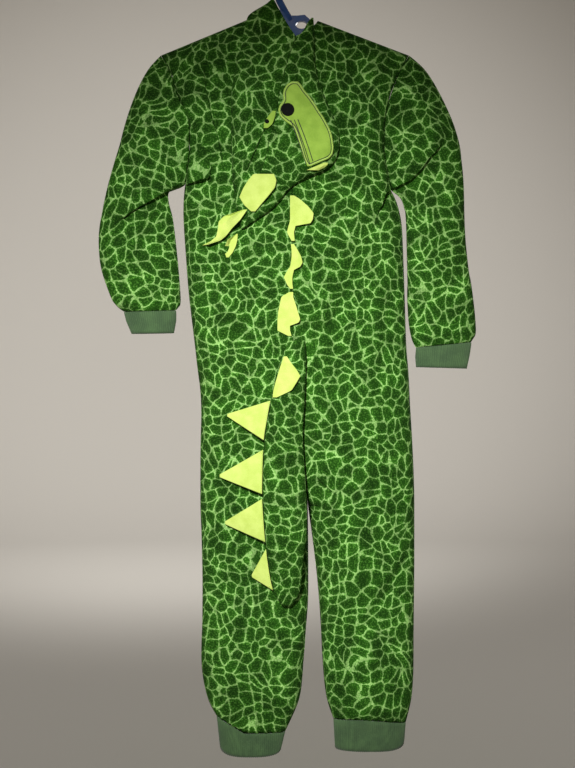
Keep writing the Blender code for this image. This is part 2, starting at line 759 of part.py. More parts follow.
def build_hood_half(side, surface):
    outside, inside = [], []
    for row in [None] + HOOD:
        front = RIM_STANDOFF if row is None else row["front"]
        back = RIM_STANDOFF if row is None else row["back"]
        skins = []
        for inset in (0.0, FLEECE):
            near = hood_line(side, row, inset)
            far = mouth_back_line(side, inset) if row is None else near
            camera_side, body_side = [], []
            for i, share in enumerate(HOOD_SHARES):
                base = surface.at(near[i].x, near[i].y, HOOD_REACH, NECK_BASE)
                centre = base - LAID_GAP - back
                bulge = (front - inset) * quarter_round(share, HOOD_FRONT_ROUNDNESS)
                camera_side.append(place(near[i].x, centre - bulge, near[i].y))
                hollow = (back - inset) * quarter_round(share, HOOD_BACK_ROUNDNESS)
                base = surface.at(far[i].x, far[i].y, HOOD_REACH, NECK_BASE)
                centre = base - LAID_GAP - back
                body_side.append(place(far[i].x, centre + hollow, far[i].y))
            skins.append(camera_side[::-1] + body_side[1:])
        outside.append(skins[0])
        inside.append(skins[1])
    shell(f"hood_{side}", "plush_fleece", outside, inside)


def neckline(side, face):
    """The panel's own points along its neckline, from the shoulder to the centre."""
    columns = COLUMN_SHARES[side]
    first = columns[NECK_COLUMN[side]]
    return [neck_point(side, face, (share - first) / (1 - first), 0.0)
            for share in columns[NECK_COLUMN[side]:]]


def build_hood_end(side):
    """The hood's front end: a low band that stands on the front neckline."""
    line = neckline(side, "front")
    corner, centre = line[0][0], line[-1][0]
    outside, inside = [], []
    for level in (0.0, 0.5, 1.0):
        out_line, in_line = [], []
        for at, depth in line[1:-1]:
            low = at.y - SEAM_GAP
            share = (at.x - corner.x) / (centre.x - corner.x)
            high = min(mix(corner.y + 1, HOOD_END_TOP, quarter_round(share, NECK_CURVE)), low - HOOD_END_LEAST)
            drop = mix(low, high, level)
            out_line.append(place(at.x, depth + SEAM_GAP / 2, drop))
            in_line.append(place(at.x, depth + SEAM_GAP / 2 - FLEECE, drop))
        outside.append(out_line)
        inside.append(in_line)
    shell(f"hood_end_{side}", "plush_fleece", outside, inside)


def tail_centre(surface, row):
    """How far back the tail's middle hangs, clear of the body behind it."""
    spots = [mix(row["spine"] - TAIL_REACH, row["belly"] + TAIL_REACH, k / 6) for k in range(7)]
    nearest = min(surface.at(x, row["drop"], TAIL_REACH, 0.0) for x in spots)
    return nearest - LAID_GAP - row["thickness"] / 2


def build_tail(surface):
    """Two side panels seamed at the spine and at the belly. Returns each row's centre."""
    centres = [tail_centre(surface, row) for row in TAIL]
    for name, sign in (("tail_right", -1.0), ("tail_left", 1.0)):
        outside, inside = [], []
        for row, centre in zip(TAIL, centres):
            for inset, skin in ((0.0, outside), (FLEECE, inside)):
                half = (row["belly"] - row["spine"]) / 2 - inset
                deep = max(LEAST_HOLLOW, row["thickness"] / 2 - inset)
                line = []
                for k in range(TAIL_RING_HALF + 1):
                    angle = math.pi * k / TAIL_RING_HALF
                    x = (row["spine"] + row["belly"]) / 2 - half * math.cos(angle)
                    y = centre + sign * (SEAM_GAP / 2 + deep * math.sin(angle))
                    line.append(place(x, y, row["drop"]))
                skin.append(line)
        shell(name, "plush_fleece", outside, inside)
    return centres


def slack(grid, surface):
    """How far a grid of points, and of points halfway between them, stands off what is behind it."""
    spots = [point for row in grid for point in row]
    for row, below in zip(grid, grid[1:]):
        spots += [(a + b) / 2 for a, b in zip(row, below)]
        spots += [(a + b + c + d) / 4 for a, b, c, d in zip(row, row[1:], below, below[1:])]
    for row in grid:
        spots += [(a + b) / 2 for a, b in zip(row, row[1:])]
    behind = [(point, surface.at(point.x / MM, -point.z / MM)) for point in spots]
    return min(y - point.y / MM for point, y in behind if y is not None)


def sheet(name, material_name, rows, shares, surface, thick, reach):
    """Felt laid on what is behind it: rows of (drop, left or sewn x, right or free x, lift)."""
    lines = []
    for drop, start, end, lift in rows:
        line = []
        for share in shares:
            x = mix(start, end, share)
            y = surface.at(x, drop, reach, NECK_BASE) - LAID_GAP - lift * share * share
            line.append(place(x, y, drop))
        lines.append(line)
    settle = Vector((0, (slack(lines, surface) - LAID_GAP) * MM, 0))
    inside = [[point + settle for point in line] for line in lines]
    outside = [[point - Vector((0, thick * MM, 0)) for point in line] for line in inside]
    return shell(name, material_name, outside, inside)


def build_tail_spikes(centres, surface):
    """Triangles of felt from the tail's spine seam, tips towards the left leg's back."""
    drops = [row["drop"] for row in TAIL]
    for name, spike in TAIL_SPIKES.items():
        top, bottom = spike["base"]
        tip = Vector(spike["tip"])
        outside, inside = [], []
        for k in range(TAIL_SPIKE_STEPS + 1):
            t = k / TAIL_SPIKE_STEPS
            base_drop = mix(top, bottom, t)
            sewn = Vector((table_value(TAIL, "drop", base_drop, "spine") - TAIL_SPIKE_GAP, base_drop))
            centre = through(drops, centres, base_drop)
            out_line, in_line = [], []
            for share in TAIL_SPIKE_SHARES:
                at = sewn.lerp(tip, share)
                resting = surface.at(at.x, at.y, SPIKE_REACH, 0.0) - TAIL_SPIKE_CLEAR
                y = min(mix(centre, resting, share), resting)
                edge = half_round(t, 2.0)
                thick = mix(TAIL_SPIKE_EDGE, TAIL_SPIKE_THICK, edge * (1 - share)) / 2
                out_line.append(place(at.x, y - thick, at.y))
                in_line.append(place(at.x, y + thick, at.y))
            outside.append(out_line)
            inside.append(in_line)
        shell(name, "felt_lime", outside, inside)


def build_eye(name, surface):
    """A flat round eye, laid on its patch."""
    x, drop, radius = EYES[name]
    mesh = bmesh.new()
    lists = []
    for lift in (0.0, EYE_THICK):
        ring = []
        for k in range(EYE_SIDES):
            angle = 2 * math.pi * k / EYE_SIDES
            at = (x + radius * math.cos(angle), drop + radius * math.sin(angle))
            ring.append(mesh.verts.new(place(at[0], surface.at(at[0], at[1], EYE_REACH) - LAID_GAP - lift, at[1])))
        middle = surface.at(x, drop, EYE_REACH) - LAID_GAP - lift
        lists.append((ring, mesh.verts.new(place(x, middle, drop))))
    for k in range(EYE_SIDES):
        nxt = (k + 1) % EYE_SIDES
        mesh.faces.new((lists[0][0][k], lists[0][0][nxt], lists[0][1]))
        mesh.faces.new((lists[1][0][nxt], lists[1][0][k], lists[1][1]))
        mesh.faces.new((lists[0][0][nxt], lists[0][0][k], lists[1][0][k], lists[1][0][nxt]))
    bmesh.ops.triangulate(mesh, faces=mesh.faces[:])
    if mesh.calc_volume(signed=True) < 0:
        bmesh.ops.reverse_faces(mesh, faces=mesh.faces[:])
    data = bpy.data.meshes.new(name)
    mesh.to_mesh(data)
    mesh.free()
    new_mesh_object(name, data, "felt_black")


def rod(name, points, radius, sides_resolution=3):
    """A round rod along a line of points, as a closed mesh."""
    curve = bpy.data.curves.new(name, "CURVE")
    curve.dimensions = "3D"
    curve.bevel_depth = radius * MM
    curve.bevel_resolution = sides_resolution
    curve.use_fill_caps = True
    line = curve.splines.new("POLY")
    line.points.add(len(points) - 1)
    for target, point in zip(line.points, points):
        target.co = (*point, 1.0)
    return curve_to_mesh(name, curve)


def plate(name, outline, thick, hole=None):
    """A flat plate in the picture plane with an optional elliptical hole."""
    curve = bpy.data.curves.new(name, "CURVE")
    curve.dimensions = "2D"
    curve.fill_mode = "BOTH"
    curve.extrude = thick * MM / 2
    for loop in [outline] + ([hole] if hole else []):
        line = curve.splines.new("POLY")
        line.points.add(len(loop) - 1)
        for target, (x, drop) in zip(line.points, loop):
            target.co = (x * MM, -drop * MM, 0.0, 1.0)
        line.use_cyclic_u = True
    item = curve_to_mesh(name, curve)
    for vertex in item.data.vertices:
        vertex.co = Vector((vertex.co.x, -vertex.co.z, vertex.co.y))
    return item


def curve_to_mesh(name, curve):
    holder = bpy.data.objects.new(name + "_curve", curve)
    COSTUME.objects.link(holder)
    graph = bpy.context.evaluated_depsgraph_get()
    data = bpy.data.meshes.new_from_object(holder.evaluated_get(graph))
    bpy.data.objects.remove(holder, do_unlink=True)
    mesh = bmesh.new()
    mesh.from_mesh(data)
    bmesh.ops.remove_doubles(mesh, verts=mesh.verts[:], dist=0.00001)
    if mesh.calc_volume(signed=True) < 0:
        bmesh.ops.reverse_faces(mesh, faces=mesh.faces[:])
    mesh.to_mesh(data)
    mesh.free()
    data.name = name
    data.materials.clear()
    item = bpy.data.objects.new(name, data)
    COSTUME.objects.link(item)
    return item


def box(name, centre, size):
    bpy.ops.mesh.primitive_cube_add(size=1.0, location=(0, 0, 0))
    item = bpy.context.object
    item.name = name
    for vertex in item.data.vertices:
        vertex.co = Vector([c * MM + v * s * MM for c, v, s in zip(centre, vertex.co, size)])
    for owner in list(item.users_collection):
        owner.objects.unlink(item)
    COSTUME.objects.link(item)
    return item


def combine(target, other, operation="UNION"):
    """Joins another solid to the target, or cuts it from the target, and removes it."""
    modifier = target.modifiers.new("join", "BOOLEAN")
    modifier.operation = operation
    modifier.object = other
    modifier.solver = "EXACT"
    graph = bpy.context.evaluated_depsgraph_get()
    data = bpy.data.meshes.new_from_object(target.evaluated_get(graph))
    target.modifiers.clear()
    old = target.data
    target.data = data
    bpy.data.meshes.remove(old)
    bpy.data.objects.remove(other, do_unlink=True)


def ellipse(centre, half_width, half_height, sides):
    """Points round an ellipse, as (x, drop)."""
    turns = [2 * math.pi * k / sides for k in range(sides)]
    return [(centre[0] + half_width * math.cos(a), centre[1] + half_height * math.sin(a)) for a in turns]


def arm_point(side, x):
    """A point on the arm's centre line, just under the shoulder's inner wall."""
    corner, tip = Vector(SHOULDER[side]), Vector((SLEEVE[side][0]["outer_x"], SLEEVE[side][0]["outer_drop"]))
    slope = (tip.y - corner.y) / (tip.x - corner.x)
    below = (FLEECE + LAID_GAP + ARM_ROD) * math.sqrt(1 + slope * slope) + ARM_BELOW_RIDGE
    return place(x, 0, corner.y + slope * (x - corner.x) + below)


def arm_line(side):
    """The arm's centre line from its end to just short of the hub."""
    neck = SHOULDER[side][0]
    points = [arm_point(side, mix(ARM_ENDS[side], neck, k / 4)) for k in range(5)]
    rise = mix(-points[-1].z / MM, HUB_CENTRE[1], 0.55)
    return points + [place(mix(neck, HUB_CENTRE[0], 0.5), 0, rise)]


def build_hanger():
    radius = HOOK_RADIUS + HOOK_ROD
    hook = [place(*p) for p in ((-8, 0, 84), (-15, 0, 73), (-23, 0, 58), (-27.4, 0, 42))]
    turns = [180 - k * 12 for k in range(int((180 - HOOK_END_ANGLE) / 12) + 1)]
    for turn in turns:
        angle = math.radians(turn)
        hook.append(place(radius * math.cos(angle), 0, HOOK_RADIUS - radius * math.sin(angle)))
    hanger = rod("hanger", hook, HOOK_ROD)
    combine(hanger, rod("arms", arm_line("left") + [place(HUB_CENTRE[0], 0, HUB_CENTRE[1])]
                        + arm_line("right")[::-1], ARM_ROD))
    hole = ellipse(RING_CENTRE, RING_HALF_WIDTH, RING_HALF_HEIGHT, 16)
    combine(hanger, plate("hub", HUB_OUTLINE, HUB_THICK))
    combine(hanger, plate("hub_hole", hole, 4 * HUB_THICK), "DIFFERENCE")
    hanger.data.materials.clear()
    hanger.data.materials.append(finish("blue_plastic"))


def zip_face(drop):
    """The front panels' outer surface at the zip."""
    if drop < body_value(0, "drop"):
        span = body_value(0, "drop") - NECK_DROP["front"]
        share = (drop - NECK_DROP["front"]) / span
        return mix(NECK_HALF_DEPTH, body_value(0, "half_depth"), share) + SEAM_GAP / 2
    return body_value(drop, "half_depth") + SEAM_GAP / 2


def build_zip():
    """Tape and chain in one strip: a T whose stem fills the slot between the front panels."""
    rows = [mix(ZIP_TOP, CHAIN_END, k / ZIP_STEPS) for k in range(ZIP_STEPS + 1)]
    mesh = bmesh.new()
    rings = []
    for drop in rows:
        face = zip_face(drop)
        back_of_tape = face - FLEECE - LAID_GAP - TAPE_THICK - SEAM_GAP
        front_of_tape = back_of_tape + TAPE_THICK
        centre = body_value(drop, "left_middle")
        outline = [
            (-TAPE_HALF_WIDTH, back_of_tape), (TAPE_HALF_WIDTH, back_of_tape),
            (TAPE_HALF_WIDTH, front_of_tape), (CHAIN_HALF_WIDTH, front_of_tape),
            (CHAIN_HALF_WIDTH, face + CHAIN_PROUD), (-CHAIN_HALF_WIDTH, face + CHAIN_PROUD),
            (-CHAIN_HALF_WIDTH, front_of_tape), (-TAPE_HALF_WIDTH, front_of_tape),
        ]
        rings.append([mesh.verts.new(place(centre + x, y, drop)) for x, y in outline])
    for upper, lower in zip(rings, rings[1:]):
        for k in range(8):
            nxt = (k + 1) % 8
            mesh.faces.new((upper[k], upper[nxt], lower[nxt], lower[k]))
    mesh.faces.new(rings[0])
    mesh.faces.new(rings[-1][::-1])
    bmesh.ops.recalc_face_normals(mesh, faces=mesh.faces[:])
    bmesh.ops.triangulate(mesh, faces=mesh.faces[:])
    data = bpy.data.meshes.new("zip_chain")
    mesh.to_mesh(data)
    mesh.free()
    new_mesh_object("zip_chain", data, "zip_green")


def pivot():
    """The pull tab's pivot, in front of the slider."""
    chain = zip_face(SLIDER_DROP + SLIDER_SIZE[2] / 2) + CHAIN_PROUD
    slider_front = chain + SEAM_GAP + SLIDER_SIZE[1]
    return Vector((body_value(SLIDER_DROP, "left_middle"), slider_front + PIVOT_STANDOFF, SLIDER_DROP))


def cylinder_x(name, centre, radius, length, sides=20):
    """A cylinder along X."""
    bpy.ops.mesh.primitive_cylinder_add(vertices=sides, radius=radius * MM, depth=length * MM)
    item = bpy.context.object
    item.name = name
    for vertex in item.data.vertices:
        turned = Vector((vertex.co.z, vertex.co.y, -vertex.co.x))
        vertex.co = turned + place(*centre)
    for owner in list(item.users_collection):
        owner.objects.unlink(item)
    COSTUME.objects.link(item)
    return item


def build_slider():
    centre = pivot()
    size = SLIDER_SIZE
    body_y = centre.y - PIVOT_STANDOFF - size[1] / 2
    slider = box("zip_slider", (centre.x, body_y, -centre.z), size)
    bevel = slider.modifiers.new("rounded", "BEVEL")
    bevel.width = 0.8 * MM
    bevel.segments = 2
    combine(slider, cylinder_x("bail", centre, BAIL_RADIUS, BAIL_WIDTH))
    combine(slider, cylinder_x("bail_hole", centre, BAIL_HOLE, 3 * BAIL_WIDTH, 16), "DIFFERENCE")
    slider.data.materials.clear()
    slider.data.materials.append(finish("zip_metal"))


def build_pull_tab():
    """A flat tab whose cross bar runs through the slider's bail; its origin is on that bar."""
    centre = pivot()
    half, bar = TAB_WIDTH / 2, TAB_THICK / 2
    hole_half = BAIL_WIDTH / 2 + 0.5
    hole_end = BAIL_RADIUS + 0.7
    top = centre.z - bar
    outline = [(-half, top + 0.8), (-half + 0.8, top), (half - 0.8, top), (half, top + 0.8)]
    outline += [(half, top + TAB_LENGTH - 2), (half - 2, top + TAB_LENGTH)]
    outline += [(-half + 2, top + TAB_LENGTH), (-half, top + TAB_LENGTH - 2)]
    outline = [(centre.x + x, drop) for x, drop in outline]
    hole = [(centre.x - hole_half, centre.z + bar), (centre.x + hole_half, centre.z + bar),
            (centre.x + hole_half, centre.z + hole_end), (centre.x - hole_half, centre.z + hole_end)]
    tab = plate("pull_tab", outline, TAB_THICK, hole)
    hinge = place(*centre)
    for vertex in tab.data.vertices:
        vertex.co += Vector((0, hinge.y, 0)) - hinge
    tab.location = hinge
    tab.data.materials.append(finish("zip_metal"))


def build_costume():
    build_panels()
    for side in ("left", "right"):
        build_sleeve(side)
        build_wrist_cuff(side)
        build_ankle_cuff(side)
        build_hood_end(side)
    body = Surface()
    for name, rows in SPINE_SPIKES.items():
        sheet(name, "felt_lime", rows, SPIKE_SHARES, body, FELT, SPIKE_REACH)
    centres = build_tail(body)
    with_tail = Surface()
    sheet("spike_tail_root", "felt_lime", TAIL_ROOT_SPIKE, SPIKE_SHARES, with_tail, FELT, HOOD_SPIKE_REACH)
    build_tail_spikes(centres, body)
    for side in ("left", "right"):
        build_hood_half(side, body)
    hood = Surface()
    for name, rows in PATCHES.items():
        shares = [k / PATCH_STEPS for k in range(PATCH_STEPS + 1)]
        flat_rows = [(drop, left, right, 0.0) for drop, left, right in rows]
        sheet(name, "felt_green", flat_rows, shares, hood, FELT, PATCH_REACH)
    patched = Surface()
    for name in EYES:
        build_eye(name, patched)
    for name, rows in HOOD_SPIKES.items():
        sheet(name, "felt_lime", rows, SPIKE_SHARES, Surface(), FELT, HOOD_SPIKE_REACH)
    build_hanger()
    build_zip()
    build_slider()
    build_pull_tab()


clear_scene()
COSTUME = bpy.data.collections.new("dinosaur_costume")
bpy.context.scene.collection.children.link(COSTUME)
build_costume()
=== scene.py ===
# %% [markdown]
# # A plush dinosaur costume on its hanger
# This is a child's one-piece suit in printed plush fleece, hung by a plastic hanger and seen
# from its back. Its walls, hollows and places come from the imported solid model. Here each cut
# piece gets a finer skin, its small folds, its pile, and a finish that is made with nodes.

# %% Load the solid model
import math

import bmesh
import bpy
import numpy as np
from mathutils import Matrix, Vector, noise
from mathutils.bvhtree import BVHTree


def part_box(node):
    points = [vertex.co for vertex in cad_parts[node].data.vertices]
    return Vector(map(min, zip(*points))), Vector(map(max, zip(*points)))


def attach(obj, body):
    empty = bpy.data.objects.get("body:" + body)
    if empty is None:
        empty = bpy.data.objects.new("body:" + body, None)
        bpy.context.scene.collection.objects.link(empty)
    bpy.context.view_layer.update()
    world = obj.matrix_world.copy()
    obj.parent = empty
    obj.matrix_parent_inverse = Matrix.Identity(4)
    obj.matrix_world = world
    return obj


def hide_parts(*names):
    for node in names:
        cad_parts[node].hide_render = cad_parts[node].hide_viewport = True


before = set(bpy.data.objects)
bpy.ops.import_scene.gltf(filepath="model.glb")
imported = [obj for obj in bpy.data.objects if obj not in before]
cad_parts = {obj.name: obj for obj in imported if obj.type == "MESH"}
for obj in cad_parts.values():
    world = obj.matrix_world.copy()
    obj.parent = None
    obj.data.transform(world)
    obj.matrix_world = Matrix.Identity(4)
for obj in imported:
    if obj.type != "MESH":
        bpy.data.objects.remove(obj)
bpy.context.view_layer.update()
MM = 0.001
COSTUME = "costume"

# %% [markdown]
# ## Helpers for node trees
# A shader or a geometry tree is a list of nodes whose inputs are either numbers or the outputs
# of other nodes. One helper adds a node and fills its inputs, and the rest are short names for
# common nodes, so a tree reads from top to bottom. Colours are written as hex, as a painter's
# chart gives them, and turned to linear light.

# %% Node helpers
def linear_rgb(hex_colour):
    """A chart's colour as linear light with alpha."""
    values = [int(hex_colour[i:i + 2], 16) / 255 for i in (0, 2, 4)]
    return [v / 12.92 if v <= 0.04045 else ((v + 0.055) / 1.055) ** 2.4 for v in values] + [1.0]


def add_node(tree, kind, inputs=None, **settings):
    """A new node; an input is a value or another node's output."""
    node = tree.nodes.new(kind)
    for name, value in settings.items():
        setattr(node, name, value)
    for name, value in (inputs or {}).items():
        socket = node.inputs[name]
        if isinstance(value, bpy.types.NodeSocket):
            tree.links.new(value, socket)
        else:
            socket.default_value = value
    return node


def maths(tree, operation, a, b=0.0, c=0.0):
    return add_node(tree, "ShaderNodeMath", {0: a, 1: b, 2: c}, operation=operation).outputs[0]


def vector_maths(tree, operation, a, b=(0, 0, 0)):
    return add_node(tree, "ShaderNodeVectorMath", {0: a, 1: b}, operation=operation).outputs[0]


def scaled(tree, vector, amount):
    return add_node(tree, "ShaderNodeVectorMath", {0: vector, "Scale": amount},
                    operation="SCALE").outputs[0]


def object_place(tree):
    return add_node(tree, "ShaderNodeTexCoord").outputs["Object"]


def coloured(tree, shader, colour):
    tree.links.new(colour, shader.inputs["Base Color"])


def mixed(tree, share, a, b):
    """Colour a where share is 0, colour b where it is 1; either may be a chart's hex."""
    a, b = (linear_rgb(colour) if isinstance(colour, str) else colour for colour in (a, b))
    node = add_node(tree, "ShaderNodeMix", {0: share, 6: a, 7: b}, data_type="RGBA")
    return node.outputs[2]


def stepped(tree, value, low, high, at_low=0.0, at_high=1.0):
    """A smooth step from at_low to at_high while value goes from low to high."""
    node = add_node(tree, "ShaderNodeMapRange", {"Value": value, "From Min": low, "From Max": high,
                                                 "To Min": at_low, "To Max": at_high},
                    interpolation_type="SMOOTHSTEP")
    return node.outputs[0]


def noise_at(tree, where, features_mm, detail=2.0, output=0, roughness=0.5):
    """Noise with features of a real size in millimetres."""
    node = add_node(tree, "ShaderNodeTexNoise", {"Vector": where, "Scale": 1000 / features_mm,
                                                 "Detail": detail, "Roughness": roughness})
    return node.outputs[output]


def new_finish(name, roughness, **fixed):
    """A material with its shader, whose named sockets are fixed numbers."""
    material = bpy.data.materials.new(name)
    material.use_nodes = True
    shader = material.node_tree.nodes["Principled BSDF"]
    shader.inputs["Roughness"].default_value = roughness
    for socket, value in fixed.items():
        shader.inputs[socket.replace("_", " ")].default_value = value
    return material, material.node_tree, shader


def bumped(tree, shader, height, strength, distance_mm):
    bump = add_node(tree, "ShaderNodeBump", {"Height": height, "Strength": strength,
                                             "Distance": distance_mm * MM})
    tree.links.new(bump.outputs[0], shader.inputs["Normal"])


# %% [markdown]
# ## Printed plush
# The cloth is a short-pile fleece printed with dark rounded scales in a pale lime net. The print
# is flat on the cloth, so it is worked out in the piece's own cut, the UV map "cut", in metres.
# A Voronoi texture has a seed for each scale: where the nearest and the second nearest seed are
# equally far lies a line of the net. The distance to it is the mean of four looks taken round the
# point, which widens the net at its junctions and so rounds the scales. Three noises push the
# print about: a broad one makes some scales large and others small, a middle one bends their
# sides, and a fine one frays the lines, because each hair of the pile carries its own ink.

# %% The print's and the pile's sizes in millimetres and the plush material
PRINT = {"scale": 14.0, "uneven_over": 60.0, "uneven": 38.0, "bend_over": 9.0, "bend": 3.2,
         "fray_over": 2.4, "fray": 2.3, "line": 0.56, "line_edge": 0.86,
         "corner": 0.9, "looks_round": 4, "broad": 8.0}
# A tuft of pile is about 1 mm across: its hair is drawn twice as coarse, or it would not show.
PILE = {"hair": 2.3, "tuft": 3.6, "nap": 24.0, "strength": 0.8, "depth": 1.8}
PLUSH = {"line": "98c272", "line_deep": "5f983c", "scale_edge": "275610", "scale_core": "1b4209",
         "fleck": "5a9436", "sheen": "7fb05a"}


def plush():
    material, tree, shader = new_finish("printed_plush", 0.93, Sheen_Weight=0.04, Sheen_Roughness=0.5,
                                        Specular_IOR_Level=0.1)
    shader.inputs["Sheen Tint"].default_value = linear_rgb(PLUSH["sheen"])
    cut = add_node(tree, "ShaderNodeAttribute", attribute_name="cut").outputs["Vector"]

    def pushed(where, features, amount):
        colour = noise_at(tree, cut, features, 2.0, 1)
        centred = vector_maths(tree, "SUBTRACT", colour, (0.5, 0.5, 0.5))
        return vector_maths(tree, "ADD", where, scaled(tree, centred, amount * MM))

    where = pushed(cut, PRINT["uneven_over"], PRINT["uneven"])
    where = pushed(where, PRINT["bend_over"], PRINT["bend"])
    where = pushed(where, PRINT["fray_over"], PRINT["fray"])

    def seeds(feature, at):
        return add_node(tree, "ShaderNodeTexVoronoi", {"Vector": at, "Scale": 1000 / PRINT["scale"],
                                                       "Randomness": 0.88},
                        voronoi_dimensions="2D", feature=feature).outputs

    def line_distance(shift):
        """Millimetres to the net's nearest line, at a point beside this one."""
        at = vector_maths(tree, "ADD", where, shift)
        gap = maths(tree, "SUBTRACT", seeds("F2", at)["Distance"], seeds("F1", at)["Distance"])
        return maths(tree, "MULTIPLY", gap, PRINT["scale"] / 2 / PRINT["looks_round"])

    nearest = seeds("F1", where)
    to_line = 0.0
    for k in range(PRINT["looks_round"]):
        turn = 2 * math.pi * k / PRINT["looks_round"]
        reach = PRINT["corner"] * MM
        shift = (reach * math.cos(turn), reach * math.sin(turn), 0.0)
        to_line = maths(tree, "ADD", line_distance(shift), to_line)
    broad = noise_at(tree, cut, PRINT["broad"], 1.0)
    to_line = maths(tree, "SUBTRACT", to_line, stepped(tree, broad, 0.3, 0.75, -0.10, 0.20))
    on_line = stepped(tree, to_line, PRINT["line"], PRINT["line_edge"], 1.0, 0.0)
    hair = noise_at(tree, cut, PILE["hair"], 2.0, 0, 0.7)
    nap = noise_at(tree, cut, PILE["nap"], 3.0)
    own = add_node(tree, "ShaderNodeSeparateColor", {0: nearest["Color"]}).outputs[0]
    core = stepped(tree, to_line, 1.0, 3.4)
    cell = mixed(tree, core, PLUSH["scale_edge"], PLUSH["scale_core"])
    flecks = stepped(tree, hair, 0.49, 0.66)
    flecks = maths(tree, "MULTIPLY", flecks, stepped(tree, to_line, 5.5, 0.8, 0.40, 0.80))
    cell = mixed(tree, flecks, cell, PLUSH["fleck"])
    ink = mixed(tree, stepped(tree, hair, 0.34, 0.60), PLUSH["line_deep"], PLUSH["line"])
    colour = mixed(tree, on_line, cell, ink)
    shade = maths(tree, "MULTIPLY", stepped(tree, nap, 0.3, 0.7, 0.66, 1.20),
                  stepped(tree, own, 0.0, 1.0, 0.80, 1.12))
    coloured(tree, shader, scaled(tree, colour, shade))
    tuft = noise_at(tree, cut, PILE["tuft"], 3.0, 0, 0.65)
    bumped(tree, shader, maths(tree, "ADD", hair, tuft), PILE["strength"], PILE["depth"])
    return material


PLUSH_FLEECE = plush()
print("printed scales about", PRINT["scale"], "mm across")

# %% [markdown]
# ## Felt
# The spikes and the eye patch are thick pressed felt: no weave, only short fibres that lie every
# way. A fine noise makes fibres, a broad one makes the slightly uneven dye.

# %% Felt materials
def felt(name, colour, pale, deep):
    material, tree, shader = new_finish(name, 0.95, Sheen_Weight=0.08, Sheen_Roughness=0.6,
                                        Specular_IOR_Level=0.2)
    shader.inputs["Sheen Tint"].default_value = linear_rgb(pale)
    where = object_place(tree)
    fibres = noise_at(tree, where, 0.9, 3.0, 0, 0.75)
    cloud = noise_at(tree, where, 14.0, 2.0)
    base = mixed(tree, stepped(tree, cloud, 0.3, 0.7), deep, colour)
    base = mixed(tree, maths(tree, "MULTIPLY", stepped(tree, fibres, 0.5, 0.75), 0.5), base, pale)
    coloured(tree, shader, base)
    bumped(tree, shader, maths(tree, "ADD", fibres, noise_at(tree, where, 3.5, 2.0)), 0.4, 0.5)
    return material


FELT_LIME = felt("lime_felt", "c6da70", "d6e68e", "b8ce60")
FELT_GREEN = felt("green_felt", "96ba48", "a8c85c", "86aa3e")
FELT_BLACK = felt("black_felt", "0c0e0a", "1c2018", "080a07")

# %% [markdown]
# ## Rib knit, thread, plastic, zip metal
# The rib's ribs are real geometry; its material adds the small stitches along each rib and painted shade in
# the grooves.
# The plastic is moulded and has been handled, so its gloss varies a little. Metal is worn bright.

# %% Rib, thread, plastic and metal
def rib_knit():
    material, tree, shader = new_finish("ribbed_knit", 0.9, Sheen_Weight=0.2)
    where = object_place(tree)
    stretched = vector_maths(tree, "MULTIPLY", where, (1.0, 1.0, 0.6))
    stitch = noise_at(tree, stretched, 1.3, 2.0, 0, 0.6)
    groove = add_node(tree, "ShaderNodeAttribute", attribute_name="groove").outputs["Fac"]
    cloud = noise_at(tree, where, 18.0, 2.0)
    base = mixed(tree, stepped(tree, cloud, 0.3, 0.7), "385230", "446138")
    # painted shade: the grooves between the ribs are darkened towards 263a20
    base = mixed(tree, maths(tree, "MULTIPLY", groove, 0.55), base, "263a20")
    base = mixed(tree, maths(tree, "MULTIPLY", stepped(tree, stitch, 0.5, 0.8), 0.35), base, "58764a")
    coloured(tree, shader, base)
    bumped(tree, shader, stitch, 0.5, 0.5)
    return material


def thread(name, colour):
    material, tree, shader = new_finish(name, 0.6, Sheen_Weight=0.2)
    where = object_place(tree)
    twist = noise_at(tree, where, 0.6, 1.0)
    dark = [v * 0.6 for v in linear_rgb(colour)[:3]] + [1.0]
    coloured(tree, shader, mixed(tree, stepped(tree, twist, 0.3, 0.6), dark, colour))
    bumped(tree, shader, twist, 0.4, 0.2)
    return material


def moulded_plastic():
    material, tree, shader = new_finish("moulded_blue_plastic", 0.35, Coat_Weight=0.15)
    where = object_place(tree)
    handled = noise_at(tree, where, 12.0, 4.0)
    grain = noise_at(tree, where, 0.8, 2.0)
    base = mixed(tree, stepped(tree, handled, 0.3, 0.7), "1f4588", "2a5799")
    coloured(tree, shader, base)
    tree.links.new(stepped(tree, handled, 0.35, 0.7, 0.28, 0.5), shader.inputs["Roughness"])
    bumped(tree, shader, grain, 0.15, 0.1)
    return material


def zip_metal():
    material, tree, shader = new_finish("worn_zip_metal", 0.3, Metallic=1.0)
    where = object_place(tree)
    worn = noise_at(tree, where, 2.5, 4.0)
    base = mixed(tree, stepped(tree, worn, 0.4, 0.65), "8b8f94", "c4c7ca")
    coloured(tree, shader, base)
    tree.links.new(stepped(tree, worn, 0.3, 0.7, 0.42, 0.24), shader.inputs["Roughness"])
    bumped(tree, shader, noise_at(tree, where, 0.4, 1.0), 0.2, 0.05)
    return material


def zip_tape():
    material, tree, shader = new_finish("woven_zip_tape", 0.8)
    where = object_place(tree)
    wave = add_node(tree, "ShaderNodeTexWave", {"Vector": where, "Scale": 350.0, "Distortion": 0.4},
                    wave_type="BANDS", bands_direction="DIAGONAL").outputs[1]
    base = mixed(tree, wave, "1f5422", "35772f")
    coloured(tree, shader, base)
    bumped(tree, shader, wave, 0.4, 0.2)
    return material


RIB_KNIT, BLUE_PLASTIC, ZIP_METAL, ZIP_TAPE = rib_knit(), moulded_plastic(), zip_metal(), zip_tape()
LIME_THREAD, DARK_THREAD = thread("lime_thread", "b9dc62"), thread("dark_thread", "1b2a12")
print("finishes", sorted(m.name for m in bpy.data.materials))

